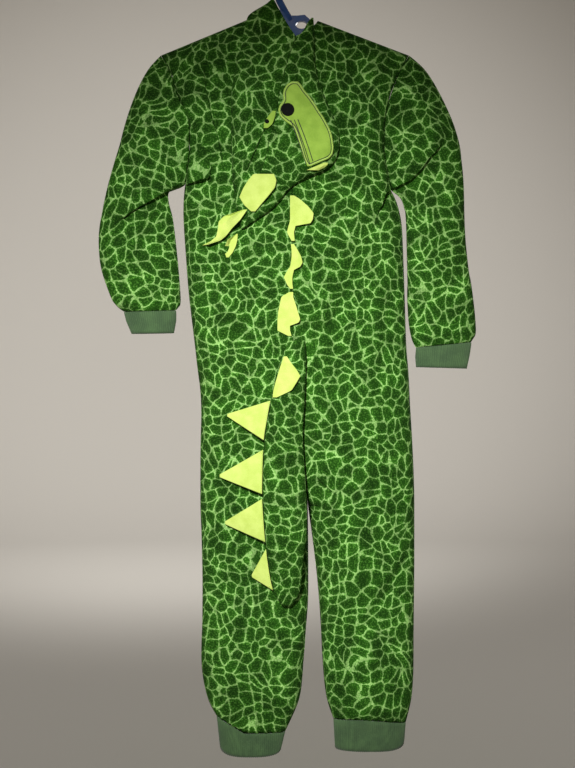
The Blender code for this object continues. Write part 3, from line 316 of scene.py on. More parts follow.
# %% [markdown]
# ## The folds
# A fold in thick fleece is a soft trough or ridge, and where a sleeve bends, one side laps over
# the other: a lip. Each is a line on the cloth, in millimetres across and down from the hook,
# with a width and a depth. The largest are in the solid model, and these finer ones sharpen them.

# %% Fine folds: from x, drop, to x, drop, width, and height, which is negative in a trough
FINE_FOLDS = [
    (-168, 240, -205, 262, 6.0, -2.6), (-232, 350, -235, 378, 4.5, -3.0),
    (-176, 330, -212, 402, 6.0, -2.4), (-200, 345, -230, 412, 8.0, 2.2),
    (-214, 392, -196, 446, 6.0, -2.2), (-190, 200, -152, 268, 11.0, 2.6),
    (-196, 196, -214, 260, 8.0, -2.0), (-138, 165, -112, 262, 7.0, 2.6),
    (-104, 110, -122, 168, 7.0, -2.2), (146, 240, 178, 216, 6.0, -2.4),
    (136, 250, 176, 238, 8.0, 2.4), (150, 330, 196, 352, 7.0, -2.4),
    (158, 392, 205, 420, 7.0, -2.2), (196, 262, 206, 340, 7.0, 2.2),
    (180, 300, 190, 372, 7.0, -2.4), (200, 420, 186, 480, 6.0, -2.0), (122, 330, 90, 410, 8.0, 2.4),
    (106, 330, 40, 480, 7.0, -3.0), (84, 340, 24, 470, 11.0, 2.6), (70, 500, 96, 600, 9.0, -2.6),
    (-84, 250, -104, 330, 8.0, -2.4), (-74, 300, -96, 400, 10.0, 2.2),
    (20, 520, 60, 548, 9.0, -2.0), (120, 440, 104, 560, 7.0, -2.4), (106, 452, 90, 560, 8.0, 2.0),
    (-112, 404, -90, 560, 8.0, -2.6), (-100, 420, -76, 540, 8.0, 1.8),
    (-70, 430, -50, 560, 9.0, -1.8), (24, 640, 30, 712, 6.0, -2.4), (34, 660, 70, 690, 8.0, 2.0),
    (52, 560, 40, 640, 9.0, -1.8), (-106, 640, -90, 740, 8.0, -2.0),
    (-100, 800, -62, 858, 6.0, -3.2), (-70, 870, -34, 905, 7.0, -2.2),
    (-84, 790, -50, 846, 8.0, 2.2), (140, 776, 92, 862, 5.5, -3.2), (128, 772, 80, 852, 8.0, 2.0),
    (60, 880, 96, 930, 7.0, -2.2), (-100, 930, -40, 972, 7.0, -2.2), (60, 950, 124, 960, 7.0, -2.2),
    (-60, 860, -24, 800, 8.0, -1.8), (-134, 150, -118, 206, 6.0, -1.6),
    (76, 118, 72, 150, 8.0, -2.0), (98, 120, 106, 196, 7.0, -2.2), (86, 196, 80, 262, 8.0, -2.4),
    (66, 190, 62, 262, 9.0, 2.0),
]


def fold_push(x, drop, folds=FINE_FOLDS):
    """How far the fine folds push each point out, in millimetres (arrays in, array out)."""
    height = np.zeros_like(x)
    for from_x, from_drop, to_x, to_drop, width, rise in folds:
        run_x, run_drop = to_x - from_x, to_drop - from_drop
        length = math.hypot(run_x, run_drop)
        along = ((x - from_x) * run_x + (drop - from_drop) * run_drop) / length ** 2
        beyond = np.maximum(0.0, np.maximum(-along, along - 1)) * length
        away = np.hypot(x - from_x - run_x * along, drop - from_drop - run_drop * along) / width
        height += rise * np.exp(-(beyond / (2 * width)) ** 2) * np.exp(-away ** 2)
    return height


# %% [markdown]
# ## The laps
# Where a sleeve bends, and along the armhole, the cloth folds right over itself: its section is
# an S, and the upper layer hides a strip of the lower one. Each lap is a line of points on the
# cloth. Points beside it slide towards the line from both sides until they pass each other, the
# upper ones (on the line's left-hand side as it runs) outwards and the lower ones inwards. A lap
# needs a fine mesh, so the faces near one are split before they move.

# %% Laps: points, how far the layers slide past each other, how far they stand apart
LAPS = {
    "left_armhole_and_elbow": ([(-168, 156), (-156, 186), (-146.5, 200), (-134, 226), (-119, 255),
                                (-111, 278), (-112, 290), (-129, 294), (-146, 298), (-163, 303),
                                (-188, 319), (-214, 334), (-232, 348)], 7.5, 3.6),
    "left_of_hood": ([(-119, 146), (-116.5, 175), (-111, 197), (-106, 221), (-99, 240), (-95, 262),
                      (-92, 284)], 4.5, 2.6),
    "right_elbow": ([(190, 242), (180, 253), (169, 264), (157.5, 280), (146, 291.5), (129, 299.5),
                     (114, 308.5), (103, 338)], 7.5, 3.6),
    "right_waist": ([(112, 311), (101, 348), (91, 367), (62, 432), (36, 486)], 1.6, 1.2),
    "right_of_hood": ([(46, 208), (58, 188), (65.5, 170), (68, 148)], 4.5, 2.6),
    "right_groin": ([(54, 699), (34, 682), (16, 664)], 3.6, 2.0),
}
# A lap's fading ends, the strip with a finer mesh, how far its slide reaches, its line's core
LAP_END, LAP_NEAR, LAP_REACH, LAP_CORE = 16.0, 8.0, 22.0, 1.5


def lap_move(x, drop, laps=LAPS):
    """How the laps move each point: in the cloth's plane (x, drop) and outwards."""
    slide = np.zeros((len(x), 2))
    rise = np.zeros_like(x)
    here = np.column_stack([x, drop])
    for points, overlap, apart in laps.values():
        points = np.array(points, float)
        runs = np.diff(points, axis=0)
        lengths = np.hypot(*runs.T)
        starts = np.concatenate([[0], np.cumsum(lengths)])
        best = np.full(len(x), np.inf)
        signed = np.zeros_like(x)
        across = np.zeros((len(x), 2))
        along = np.zeros_like(x)
        for start, run, length, so_far in zip(points, runs, lengths, starts):
            t = np.clip(((here - start) @ run) / length ** 2, 0, 1)
            offset = here - start - t[:, None] * run
            distance = np.hypot(*offset.T)
            upper = np.array([-run[1], run[0]]) / length
            side = np.where(offset @ upper >= 0, 1.0, -1.0)
            nearer = distance < best
            best = np.where(nearer, distance, best)
            signed = np.where(nearer, side * distance, signed)
            direction = np.where(distance[:, None] > 0.05, offset / np.maximum(distance, 0.05)[:, None],
                                 side[:, None] * upper)
            across = np.where(nearer[:, None], direction, across)
            along = np.where(nearer, so_far + t * length, along)
        ends = np.clip(np.minimum(along, starts[-1] - along) / LAP_END, 0, 1)
        strength = ends * ends * (3 - 2 * ends)
        opened = 1 - np.exp(-(best / LAP_CORE) ** 2)
        slide -= across * (overlap / 2 * strength * opened * np.exp(-best / LAP_REACH))[:, None]
        rise += np.sign(signed) * apart * strength * opened * np.exp(-best / (0.7 * LAP_REACH))
    return slide, rise


def near_lap(x, drop, laps=LAPS):
    """Whether each point is close enough to a lap to need a finer mesh."""
    close = np.zeros(len(x), bool)
    here = np.column_stack([x, drop])
    for points, _, _ in laps.values():
        points = np.array(points, float)
        for start, run in zip(points, np.diff(points, axis=0)):
            t = np.clip(((here - start) @ run) / (run @ run), 0, 1)
            close |= np.hypot(*(here - start - t[:, None] * run).T) < LAP_NEAR
    return close


# Cloth that something lies on keeps the solid model's own shape: x from, to, drop from, to
UNDER_OTHERS = [(-86, 58, 60, 330), (-86, -2, 300, 366), (-34, 26, 300, 505), (-104, 20, 505, 840)]


def bare_share(x, drop, margin=10.0):
    """1 where nothing lies on the back, falling to 0 where the hood, spikes and tail lie."""
    share = np.ones_like(x)
    for left, right, top, bottom in UNDER_OTHERS:
        outside = np.maximum.reduce([left - x, x - right, top - drop, drop - bottom])
        share = np.minimum(share, np.clip(outside / margin, 0.0, 1.0))
    return share


print(len(FINE_FOLDS), "fine folds and", len(LAPS), "laps")

# %% [markdown]
# ## From a solid piece to a cloth piece
# Each cut piece of the suit starts as a copy of its solid. Its triangles are paired to quads, its
# rims are marked as seams, and it is unwrapped: a flat layout of a sewn piece is its paper
# pattern. Subdivision then rounds the cloth, and the folds and a slight lumpiness move it.

# %% Copy, unwrap and refine a solid piece
RIM_ANGLE, RIM_CREASE = math.radians(50), 0.75
PAIR_FACES, PAIR_SHAPES = math.radians(60), math.radians(80)


def linked(name, mesh):
    item = bpy.data.objects.new(name, mesh)
    bpy.context.scene.collection.objects.link(item)
    return item


def evaluated(item):
    """The object with its modifiers made real."""
    graph = bpy.context.evaluated_depsgraph_get()
    mesh = bpy.data.meshes.new_from_object(item.evaluated_get(graph))
    old = item.data
    item.modifiers.clear()
    item.data = mesh
    mesh.name = item.name
    if old.users == 0:
        bpy.data.meshes.remove(old)
    return item


def quads_of(node, underarm=None):
    """A copy of a solid's mesh in quads, with its rims marked as seams and creases."""
    source = bmesh.new()
    source.from_mesh(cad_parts[node].data)
    bmesh.ops.remove_doubles(source, verts=source.verts[:], dist=1e-6)
    bmesh.ops.join_triangles(source, faces=source.faces[:], angle_face_threshold=PAIR_FACES,
                             angle_shape_threshold=PAIR_SHAPES)
    crease = source.edges.layers.float.new("crease_edge")
    rim = source.verts.layers.float.new("rim")
    for edge in source.edges:
        edge.smooth = True
        if edge.calc_face_angle(0.0) > RIM_ANGLE:
            edge.seam = True
            edge[crease] = RIM_CREASE
            for vert in edge.verts:
                vert[rim] = 1.0
        elif underarm and all(underarm(v.co) for v in edge.verts):
            edge.seam = True
    mesh = bpy.data.meshes.new(node + "_cloth")
    source.to_mesh(mesh)
    source.free()
    return mesh


def lay_out(item):
    """Unwraps the piece at real size: its UV map "cut" is in metres."""
    bpy.context.view_layer.objects.active = item
    item.select_set(True)
    for old in list(item.data.uv_layers):
        item.data.uv_layers.remove(old)
    item.data.uv_layers.new(name="cut")
    bpy.ops.object.mode_set(mode="EDIT")
    bpy.ops.mesh.select_all(action="SELECT")
    bpy.ops.uv.unwrap(method="ANGLE_BASED", margin=0.002)
    bpy.ops.uv.average_islands_scale()
    bpy.ops.object.mode_set(mode="OBJECT")
    item.select_set(False)
    mesh = item.data
    uv = np.zeros(len(mesh.loops) * 2)
    mesh.uv_layers["cut"].data.foreach_get("uv", uv)
    uv = uv.reshape(-1, 2)
    flat = 0.0
    for face in mesh.polygons:
        corners = uv[list(face.loop_indices)]
        x, y = corners[:, 0], corners[:, 1]
        flat += abs(np.dot(x, np.roll(y, 1)) - np.dot(y, np.roll(x, 1))) / 2
    real = sum(face.area for face in mesh.polygons)
    shift = sum(ord(letter) for letter in item.name) % 97 * 0.05
    uv = uv * math.sqrt(real / flat) + shift
    mesh.uv_layers["cut"].data.foreach_set("uv", uv.ravel())


def points_of(item):
    """The piece's points in millimetres as (x, y, drop) columns."""
    co = np.zeros(len(item.data.vertices) * 3)
    item.data.vertices.foreach_get("co", co)
    co = co.reshape(-1, 3) * 1000
    return np.column_stack([co[:, 0], co[:, 1], -co[:, 2]])


def set_points(item, points):
    co = np.column_stack([points[:, 0], points[:, 1], -points[:, 2]]) * MM
    item.data.vertices.foreach_set("co", co.ravel())
    item.data.update()


# Sizes in millimetres; the front takes a share of the back's folds, mirrored about the centre
LUMP_SIZE, LUMP_HEIGHT, LUMP_STRETCH = 16.0, 0.9, 0.8
FRONT_SHARE, COSTUME_CENTRE = 0.5, -6.0
GATHER_PITCH, GATHER_HEIGHT, GATHER_RUN = 8.5, 1.3, 26.0
SEAM_DIP = 1.3
FINEST_EDGE = 0.9


def split_near_laps(item, laps=LAPS):
    """Splits the faces of the cloth's back near each lap, twice where they are coarse."""
    for _ in range(2):
        points = points_of(item)
        close = near_lap(points[:, 0], points[:, 2], laps) & (points[:, 1] < 0)
        if not close.any():
            return
        fine = bmesh.new()
        fine.from_mesh(item.data)
        fine.verts.ensure_lookup_table()
        edges = [e for e in fine.edges if close[e.verts[0].index] and close[e.verts[1].index]
                 and e.calc_length() > FINEST_EDGE * MM]
        bmesh.ops.subdivide_edges(fine, edges=edges, cuts=1, use_grid_fill=True)
        bmesh.ops.triangulate(fine, faces=[f for f in fine.faces if len(f.verts) > 4])
        fine.to_mesh(item.data)
        fine.free()


def gathers(x, drop, end_drop):
    """Small pleats where cloth is gathered into a cuff."""
    near = np.clip(1 - (end_drop - drop) / GATHER_RUN, 0, 1) ** 1.5
    wave = np.sin(2 * math.pi * x / GATHER_PITCH + 2.2 * np.sin(x / 13.0)) + 0.4 * np.sin(x / 2.3)
    return GATHER_HEIGHT * near * wave


def lumps_at(x, drop, layer):
    """A slight lumpiness of the cloth, the same wherever the layer's number is."""
    return np.array([noise.noise(Vector((a, d * LUMP_STRETCH, s)) / LUMP_SIZE)
                     for a, d, s in zip(x, drop, layer)])


def fold_piece(item, facing, end_drop=None):
    """Moves the cloth by its folds, laps and lumps; facing is -1 back, 1 front, 0 a tube."""
    split_near_laps(item)
    points = points_of(item)
    x, y, drop = points.T
    side = np.where(y < 0, -1.0, 1.0) if facing == 0 else np.full_like(y, facing)
    deep = np.clip((np.abs(y) + 1.0) / 10.0, 0.0, 1.0)
    bare = bare_share(x, drop)
    mirrored = np.where(side < 0, x, 2 * COSTUME_CENTRE - x)
    push = fold_push(mirrored, drop) * np.where(side < 0, bare, FRONT_SHARE)
    lumps = lumps_at(x, drop, 40 * side)
    push = push + LUMP_HEIGHT * 2 * lumps * np.where(side < 0, 0.3 + 0.7 * bare, 1.0)
    if end_drop is not None:
        push = push + gathers(x, drop, end_drop(x))
    slide, rise = lap_move(x, drop)
    on_back = np.where(side < 0, bare, 0.0) * deep
    rim = np.zeros(len(x))
    item.data.attributes["rim"].data.foreach_get("value", rim)
    dip = SEAM_DIP * np.clip((rim - 0.6) / 0.4, 0, 1) ** 2
    points[:, 0] += slide[:, 0] * on_back
    points[:, 2] += slide[:, 1] * on_back
    points[:, 1] += side * ((push - dip) * deep + rise * on_back)
    set_points(item, points)


HOOD_LAPS = {
    "below_the_eye": ([(-34, 214), (-42, 236), (-54, 264), (-66, 292)], 4.0, 2.4),
    "hood_top": ([(-62, 104), (-58, 130), (-60, 158)], 3.0, 1.8),
}
HOOD_FOLDS = [
    (-70, 118, -74, 230, 7.0, -2.4), (-56, 130, -58, 250, 9.0, 2.0), (-20, 250, -6, 292, 6.0, -2.2),
    (-30, 150, -24, 200, 6.0, -1.8), (-6, 120, 4, 168, 5.0, -2.0), (-48, 270, -30, 292, 7.0, 1.6),
]
HOOD_FRONT_FROM, HOOD_FRONT_OVER = 34.0, 7.0


def fold_hood(item):
    """The hood's small folds, on its outer layer alone, so its pocket stays open."""
    split_near_laps(item, HOOD_LAPS)
    points = points_of(item)
    x, y, drop = points.T
    outer = np.clip((-y - HOOD_FRONT_FROM) / HOOD_FRONT_OVER, 0, 1)
    slide, rise = lap_move(x, drop, HOOD_LAPS)
    lumps = lumps_at(x, drop, np.full_like(x, 7.0))
    push = fold_push(x, drop, HOOD_FOLDS) + 1.5 * LUMP_HEIGHT * lumps + rise
    points[:, 0] += slide[:, 0] * outer
    points[:, 2] += slide[:, 1] * outer
    points[:, 1] -= push * outer
    set_points(item, points)


def cloth_piece(node, levels=2, underarm=None):
    item = linked(node + "_cloth", quads_of(node, underarm))
    lay_out(item)
    smooth = item.modifiers.new("smooth", "SUBSURF")
    smooth.levels = smooth.render_levels = levels
    smooth.use_limit_surface = False
    evaluated(item)
    item.data.shade_smooth()
    item.data.materials.clear()
    item.data.materials.append(PLUSH_FLEECE)
    return item


# %% [markdown]
# ## Body, sleeves, hood and tail
# The back and front panels are long pieces from shoulder to ankle. A sleeve is a tube, so its
# pattern is opened along the underarm. The hood hangs as an empty pocket. The tail is two side
# panels with a seam down its spine and its belly.

# %% Make the fleece pieces
def at_underarm(side):
    """Whether a point of a sleeve is on its inner fold, below the armhole's pit."""
    top, widest = {"left": (0.290, 0.180), "right": (0.295, 0.165)}[side]

    def on_fold(point):
        return abs(point.y) < 0.0004 and point.z < -top and abs(point.x) < widest
    return on_fold


# A leg's hem: its two folds, and a level stretch from a share of the way across
HEM = {
    "left": {"outer": (-104, 983), "inner": (-15, 1003), "level_from": 0.4, "level": 1003},
    "right": {"outer": (141, 991), "inner": (47, 986), "level_from": 0.55, "level": 986},
}


def hem_line(side):
    """The drop of a leg's hem at each x, as a straight line between its folds."""
    (outer_x, outer_drop), (inner_x, inner_drop) = HEM[side]["outer"], HEM[side]["inner"]
    return lambda x: (outer_drop + (inner_drop - outer_drop)
                      * np.clip((x - outer_x) / (inner_x - outer_x), 0, 1))


SLEEVE_END = {"left": 460.0, "right": 504.0}
FLEECE_PIECES = {}
for side in ("left", "right"):
    for node, levels, underarm in (("back_", 3, None), ("front_", 2, None),
                                   ("sleeve_", 3, at_underarm(side)), ("hood_", 3, None),
                                   ("hood_end_", 2, None), ("tail_", 2, None)):
        FLEECE_PIECES[node + side] = cloth_piece(node + side, levels, underarm)
    fold_piece(FLEECE_PIECES["back_" + side], -1, hem_line(side))
    fold_piece(FLEECE_PIECES["front_" + side], 1, hem_line(side))
    fold_piece(FLEECE_PIECES["sleeve_" + side], 0, lambda x, end=SLEEVE_END[side]: end)
    fold_hood(FLEECE_PIECES["hood_" + side])
for name, item in FLEECE_PIECES.items():
    print(name, len(item.data.polygons), "faces")

# %% [markdown]
# ## Rib cuffs
# A cuff is a short double tube of rib knit. Its ribs follow one rule all round, so Geometry Nodes
# push a smooth tube in and out by a wave along its girth. The tube carries its girth in metres
# as an attribute, which gives every rib the same width.

# %% A tube of cloth with its girth
CUFF_AROUND, CUFF_ROWS = 220, 8
CUFF_SKIN, CUFF_WALL = 0.4, 1.9


def bulge(share, power):
    """How far a flattened tube stands out at a share of its width: 0 at a fold, 1 between."""
    return max(0.0, 1 - abs(2 * share - 1) ** power) ** (1 / power)


def flat_ring(outer, inner, half_depth, inset, count=CUFF_AROUND, power=2.3):
    """Points round a flattened tube between two folds, in millimetres (x, y, drop)."""
    outer, inner = np.array(outer, float), np.array(inner, float)
    run = (inner - outer) / np.linalg.norm(inner - outer)
    outer, inner = outer + run * inset, inner - run * inset
    ring = []
    for k in range(count):
        angle = 2 * math.pi * k / count
        share = (1 - math.cos(angle)) / 2
        x, drop = outer + (inner - outer) * share
        y = (half_depth - inset) * bulge(share, power)
        ring.append((x, -math.copysign(y, math.sin(angle)), drop))
    return np.array(ring)


def cuff_mesh(name, rings_outside, rings_inside):
    """A closed tube from rings of points; the outside carries the girth attribute."""
    mesh = bmesh.new()
    girth = mesh.verts.layers.float.new("girth")
    skins = []
    for rings, outside in ((rings_outside, True), (rings_inside, False)):
        skin = []
        for ring in rings:
            steps = np.linalg.norm(np.diff(ring, axis=0, append=ring[:1]), axis=1)
            around = np.concatenate([[0], np.cumsum(steps)[:-1]]) / steps.sum()
            line = []
            for (x, y, drop), share in zip(ring, around):
                vert = mesh.verts.new((x * MM, y * MM, -drop * MM))
                vert[girth] = share if outside else -1.0
                line.append(vert)
            skin.append(line)
        skins.append(skin)
    out, inn = skins
    count = len(out[0])
    for k in range(count):
        n = (k + 1) % count
        for r in range(len(out) - 1):
            mesh.faces.new((out[r][k], out[r][n], out[r + 1][n], out[r + 1][k]))
            mesh.faces.new((inn[r][k], inn[r + 1][k], inn[r + 1][n], inn[r][n]))
        mesh.faces.new((out[0][k], inn[0][k], inn[0][n], out[0][n]))
        mesh.faces.new((out[-1][k], out[-1][n], inn[-1][n], inn[-1][k]))
    if mesh.calc_volume(signed=True) < 0:
        bmesh.ops.reverse_faces(mesh, faces=mesh.faces[:])
    data = bpy.data.meshes.new(name)
    mesh.to_mesh(data)
    mesh.free()
    data.shade_smooth()
    return linked(name, data)


# %% The rib tree and its use
def geometry_tree(name, inputs):
    """A geometry tree with named inputs: {name: (socket type, default)}."""
    tree = bpy.data.node_groups.new(name, "GeometryNodeTree")
    tree.interface.new_socket("Geometry", in_out="INPUT", socket_type="NodeSocketGeometry")
    tree.interface.new_socket("Geometry", in_out="OUTPUT", socket_type="NodeSocketGeometry")
    for label, (kind, default) in inputs.items():
        socket = tree.interface.new_socket(label, in_out="INPUT", socket_type=kind)
        if default is not None:
            socket.default_value = default
    return tree, add_node(tree, "NodeGroupInput").outputs, add_node(tree, "NodeGroupOutput").inputs


def grown(item, tree, values):
    """Runs a geometry tree on the object and makes the result real."""
    modifier = item.modifiers.new(tree.name, "NODES")
    modifier.node_group = tree
    for socket in tree.interface.items_tree:
        if socket.in_out == "INPUT" and socket.name in values:
            modifier[socket.identifier] = values[socket.name]
    item.update_tag()
    bpy.context.view_layer.update()
    return evaluated(item)


def rib_tree():
    tree, given, out = geometry_tree("ribs", {
        "Rib count": ("NodeSocketInt", 60), "Rib depth": ("NodeSocketFloat", 0.0005),
        "Finish": ("NodeSocketMaterial", None)})
    girth = add_node(tree, "GeometryNodeInputNamedAttribute", {"Name": "girth"},
                     data_type="FLOAT").outputs[0]
    turns = maths(tree, "MULTIPLY", girth, given["Rib count"])
    wave = maths(tree, "COSINE", maths(tree, "MULTIPLY", turns, 2 * math.pi))
    outside = maths(tree, "GREATER_THAN", girth, -0.5)
    height = maths(tree, "MULTIPLY", maths(tree, "MULTIPLY", wave, given["Rib depth"]), outside)
    normal = add_node(tree, "GeometryNodeInputNormal").outputs[0]
    moved = add_node(tree, "GeometryNodeSetPosition", {"Geometry": given["Geometry"],
                                                       "Offset": scaled(tree, normal, height)})
    # painted shade: how deep in a groove each point lies, for the rib material to darken it
    groove = stepped(tree, wave, -0.2, -1.0)
    stored = add_node(tree, "GeometryNodeStoreNamedAttribute",
                      {"Geometry": moved.outputs[0], "Name": "groove", "Value": groove}, data_type="FLOAT")
    real = add_node(tree, "GeometryNodeRealizeInstances", {"Geometry": stored.outputs[0]})
    painted = add_node(tree, "GeometryNodeSetMaterial", {"Geometry": real.outputs[0],
                                                         "Material": given["Finish"]})
    tree.links.new(painted.outputs[0], out["Geometry"])
    return tree


RIBS = rib_tree()
RIB_PITCH, RIB_DEPTH = 2.6, 0.4
# Rows of a wrist cuff from the sleeve down: the outer fold, the inner fold, half its depth
CUFFS = {
    "cuff_wrist_left": [((-224, 461.3), (-156, 459.3), 11), ((-221, 473), (-156, 472), 11.5),
                        ((-214, 489), (-159, 488), 11)],
    "cuff_wrist_right": [((226, 500.3), (154, 507.3), 11), ((224, 515), (153, 519), 11.5),
                         ((220, 534), (154, 532), 11)],
}


def between(rows, count):
    """Cuff rows with more between them, on a smooth line."""
    result = []
    for k in range(count + 1):
        t = k / count * (len(rows) - 1)
        i = min(int(t), len(rows) - 2)
        f = t - i
        (o0, i0, d0), (o1, i1, d1) = rows[i], rows[i + 1]
        result.append((np.array(o0) * (1 - f) + np.array(o1) * f,
                       np.array(i0) * (1 - f) + np.array(i1) * f, d0 * (1 - f) + d1 * f))
    return result


def ribbed(name, outside, inside):
    item = cuff_mesh(name + "_rib", outside, inside)
    ring = outside[len(outside) // 2]
    girth = np.linalg.norm(np.diff(ring, axis=0, append=ring[:1]), axis=1).sum()
    count = int(girth / RIB_PITCH)
    grown(item, RIBS, {"Rib count": count, "Rib depth": RIB_DEPTH * MM, "Finish": RIB_KNIT})
    item.data.shade_smooth()
    print(name, "girth", round(girth), "mm,", count, "ribs")
    return item


CUFF_PIECES = {}
for name, rows in CUFFS.items():
    rows = between(rows, CUFF_ROWS)
    CUFF_PIECES[name] = ribbed(name, *([flat_ring(o, i, d, inset) for o, i, d in rows]
                                       for inset in (CUFF_SKIN, CUFF_WALL)))

# %% [markdown]
# ## Ankle cuffs
# The leg's hem runs at a slant into the ankle cuff, so the cuff's top edge is not level. Its
# rings are made from the hem's own line and the cuff's lower edge.

# %% Ankle cuffs from the hem line down: the lower edge's folds, and its drop between them
ANKLE = {
    "left": {"outer": (-100, 1018), "inner": (-20, 1022), "level": 1034},
    "right": {"outer": (139, 1014), "inner": (49, 1023), "level": 1027},
}
ANKLE_HALF_DEPTH, HEM_GAP = 13.0, 0.6


def ankle_ring(side, level, inset):
    """A ring of the ankle cuff: level 0 is at the hem, 1 at the lower edge."""
    hem, cuff = HEM[side], ANKLE[side]
    inwards = inset if side == "left" else -inset
    turn_at, flat = hem["level_from"], hem["level"]
    ring = []
    for k in range(CUFF_AROUND):
        angle = 2 * math.pi * k / CUFF_AROUND
        share = (1 - math.cos(angle)) / 2
        top_x, low_x = (row["outer"][0] + inwards + (row["inner"][0] - row["outer"][0] - 2 * inwards) * share
                        for row in (hem, cuff))
        if share < turn_at:
            top = hem["outer"][1] + (flat - hem["outer"][1]) * share / turn_at
        else:
            top = flat + (hem["inner"][1] - flat) * (share - turn_at) / (1 - turn_at)
        ends = cuff["outer"][1] + (cuff["inner"][1] - cuff["outer"][1]) * share
        low = ends + (cuff["level"] - ends) * bulge(share, 3.0)
        y = (ANKLE_HALF_DEPTH - inset) * bulge(share, 2.3)
        ring.append((top_x + (low_x - top_x) * level, -math.copysign(y, math.sin(angle)),
                     top + HEM_GAP + (low - top - HEM_GAP) * level))
    return np.array(ring)


LEVELS = [k / CUFF_ROWS for k in range(CUFF_ROWS + 1)]
for side in ("left", "right"):
    name = "cuff_ankle_" + side
    CUFF_PIECES[name] = ribbed(name, *([ankle_ring(side, level, inset) for level in LEVELS]
                                       for inset in (CUFF_SKIN, CUFF_WALL)))

# %% [markdown]
# ## Felt spikes and patches
# Felt is cut with a sharp edge and stays flat, so these pieces keep their shape: their solids are
# subdivided twice without smoothing and once with it, which only rounds the edges a little.

# %% Make the felt pieces
FELT_NODES = {
    FELT_LIME: ["spike_back_1", "spike_back_2", "spike_back_3", "spike_tail_root", "spike_tail_1",
                "spike_tail_2", "spike_tail_3", "spike_tail_4", "spike_hood_1", "spike_hood_2",
                "spike_hood_2_leaf", "spike_hood_3"],
    FELT_GREEN: ["eye_patch_left", "eye_patch_right"],
    FELT_BLACK: ["eye_left", "eye_right"],
}
FELT_PIECES = {}


def felt_piece(node, material):
    item = linked(node + "_felt", quads_of(node))
    for level, kind in ((2, "SIMPLE"), (1, "CATMULL_CLARK")):
        smooth = item.modifiers.new("smooth", "SUBSURF")
        smooth.subdivision_type = kind
        smooth.levels = smooth.render_levels = level
    evaluated(item)
    item.data.shade_smooth()
    item.data.materials.clear()
    item.data.materials.append(material)
    return item


for material, nodes in FELT_NODES.items():
    for node in nodes:
        FELT_PIECES[node] = felt_piece(node, material)
print(len(FELT_PIECES), "felt pieces")

# %% [markdown]
# ## Stitches
# Sewing is a small form repeated along a line, which is work for Geometry Nodes: the line is cut
# into equal steps, a thread's short hump stands at each, turned along the line or across it, and
# the result is made real. Running stitches lie along the line. Satin stitch, which covers a
# patch's raw edge, lies across it so close that no cloth shows between. The zip's teeth are such
# humps too, laid across the chain at a slant.

# %% The stitch tree
def stitch_tree():
    tree, given, out = geometry_tree("stitches", {
        "Pitch": ("NodeSocketFloat", 0.002), "Length": ("NodeSocketFloat", 0.0018),
        "Thickness": ("NodeSocketFloat", 0.0006), "Turn": ("NodeSocketFloat", 0.0),
        "Finish": ("NodeSocketMaterial", None)})
    line = add_node(tree, "GeometryNodeMeshToCurve", {"Mesh": given["Geometry"]}).outputs[0]
    steps = add_node(tree, "GeometryNodeCurveToPoints", {"Curve": line, "Length": given["Pitch"]},
                     mode="LENGTH").outputs
    hump = add_node(tree, "GeometryNodeMeshUVSphere", {"Segments": 6, "Rings": 4, "Radius": 0.5}).outputs[0]
    size = add_node(tree, "ShaderNodeCombineXYZ", {"X": given["Length"], "Y": given["Thickness"],
                                                   "Z": given["Thickness"]}).outputs[0]
    lie = add_node(tree, "ShaderNodeVectorRotate", {"Vector": steps["Tangent"], "Axis": (0, 1, 0),
                                                    "Angle": given["Turn"]}).outputs[0]
    turned = add_node(tree, "FunctionNodeAlignRotationToVector", {"Vector": lie}, axis="X").outputs[0]
    placed = add_node(tree, "GeometryNodeInstanceOnPoints", {"Points": steps["Points"], "Instance": hump,
                                                             "Rotation": turned, "Scale": size}).outputs[0]
    real = add_node(tree, "GeometryNodeRealizeInstances", {"Geometry": placed}).outputs[0]
    painted = add_node(tree, "GeometryNodeSetMaterial", {"Geometry": real, "Material": given["Finish"]})
    tree.links.new(painted.outputs[0], out["Geometry"])
    return tree


STITCHES = stitch_tree()


def sewn(name, lines, finish, pitch, length, thick, turn=0.0):
    """One piece of stitches along lines of points in metres; sizes in millimetres."""
    path = bmesh.new()
    for line, closed in lines:
        verts = [path.verts.new(point) for point in line]
        for a, b in zip(verts, verts[1:] + (verts[:1] if closed else [])):
            path.edges.new((a, b))
    mesh = bpy.data.meshes.new(name)
    path.to_mesh(mesh)
    path.free()
    item = grown(linked(name, mesh), STITCHES, {"Pitch": pitch * MM, "Length": length * MM,
                                                "Thickness": thick * MM, "Turn": turn, "Finish": finish})
    item.data.shade_smooth()
    return item


# %% Lines on the pieces
RAY_FROM = 0.3


def skin_of(*items):
    """A tree of the pieces' faces, for laying a line on them."""
    points, faces = [], []
    for item in items:
        first = len(points)
        points += [vert.co.copy() for vert in item.data.vertices]
        faces += [[first + k for k in face.vertices] for face in item.data.polygons]
    return BVHTree.FromPolygons(points, faces)


def laid_on(skin, line, facing, lift):
    """Points (x, drop) in millimetres put on the skin, seen from the back (-1) or front (1)."""
    laid = []
    for x, drop in line:
        start = Vector((x * MM, facing * RAY_FROM, -drop * MM))
        hit, _, _, _ = skin.ray_cast(start, Vector((0, -facing, 0)))
        if hit is not None:
            laid.append(hit + Vector((0, facing * lift * MM, 0)))
    return laid


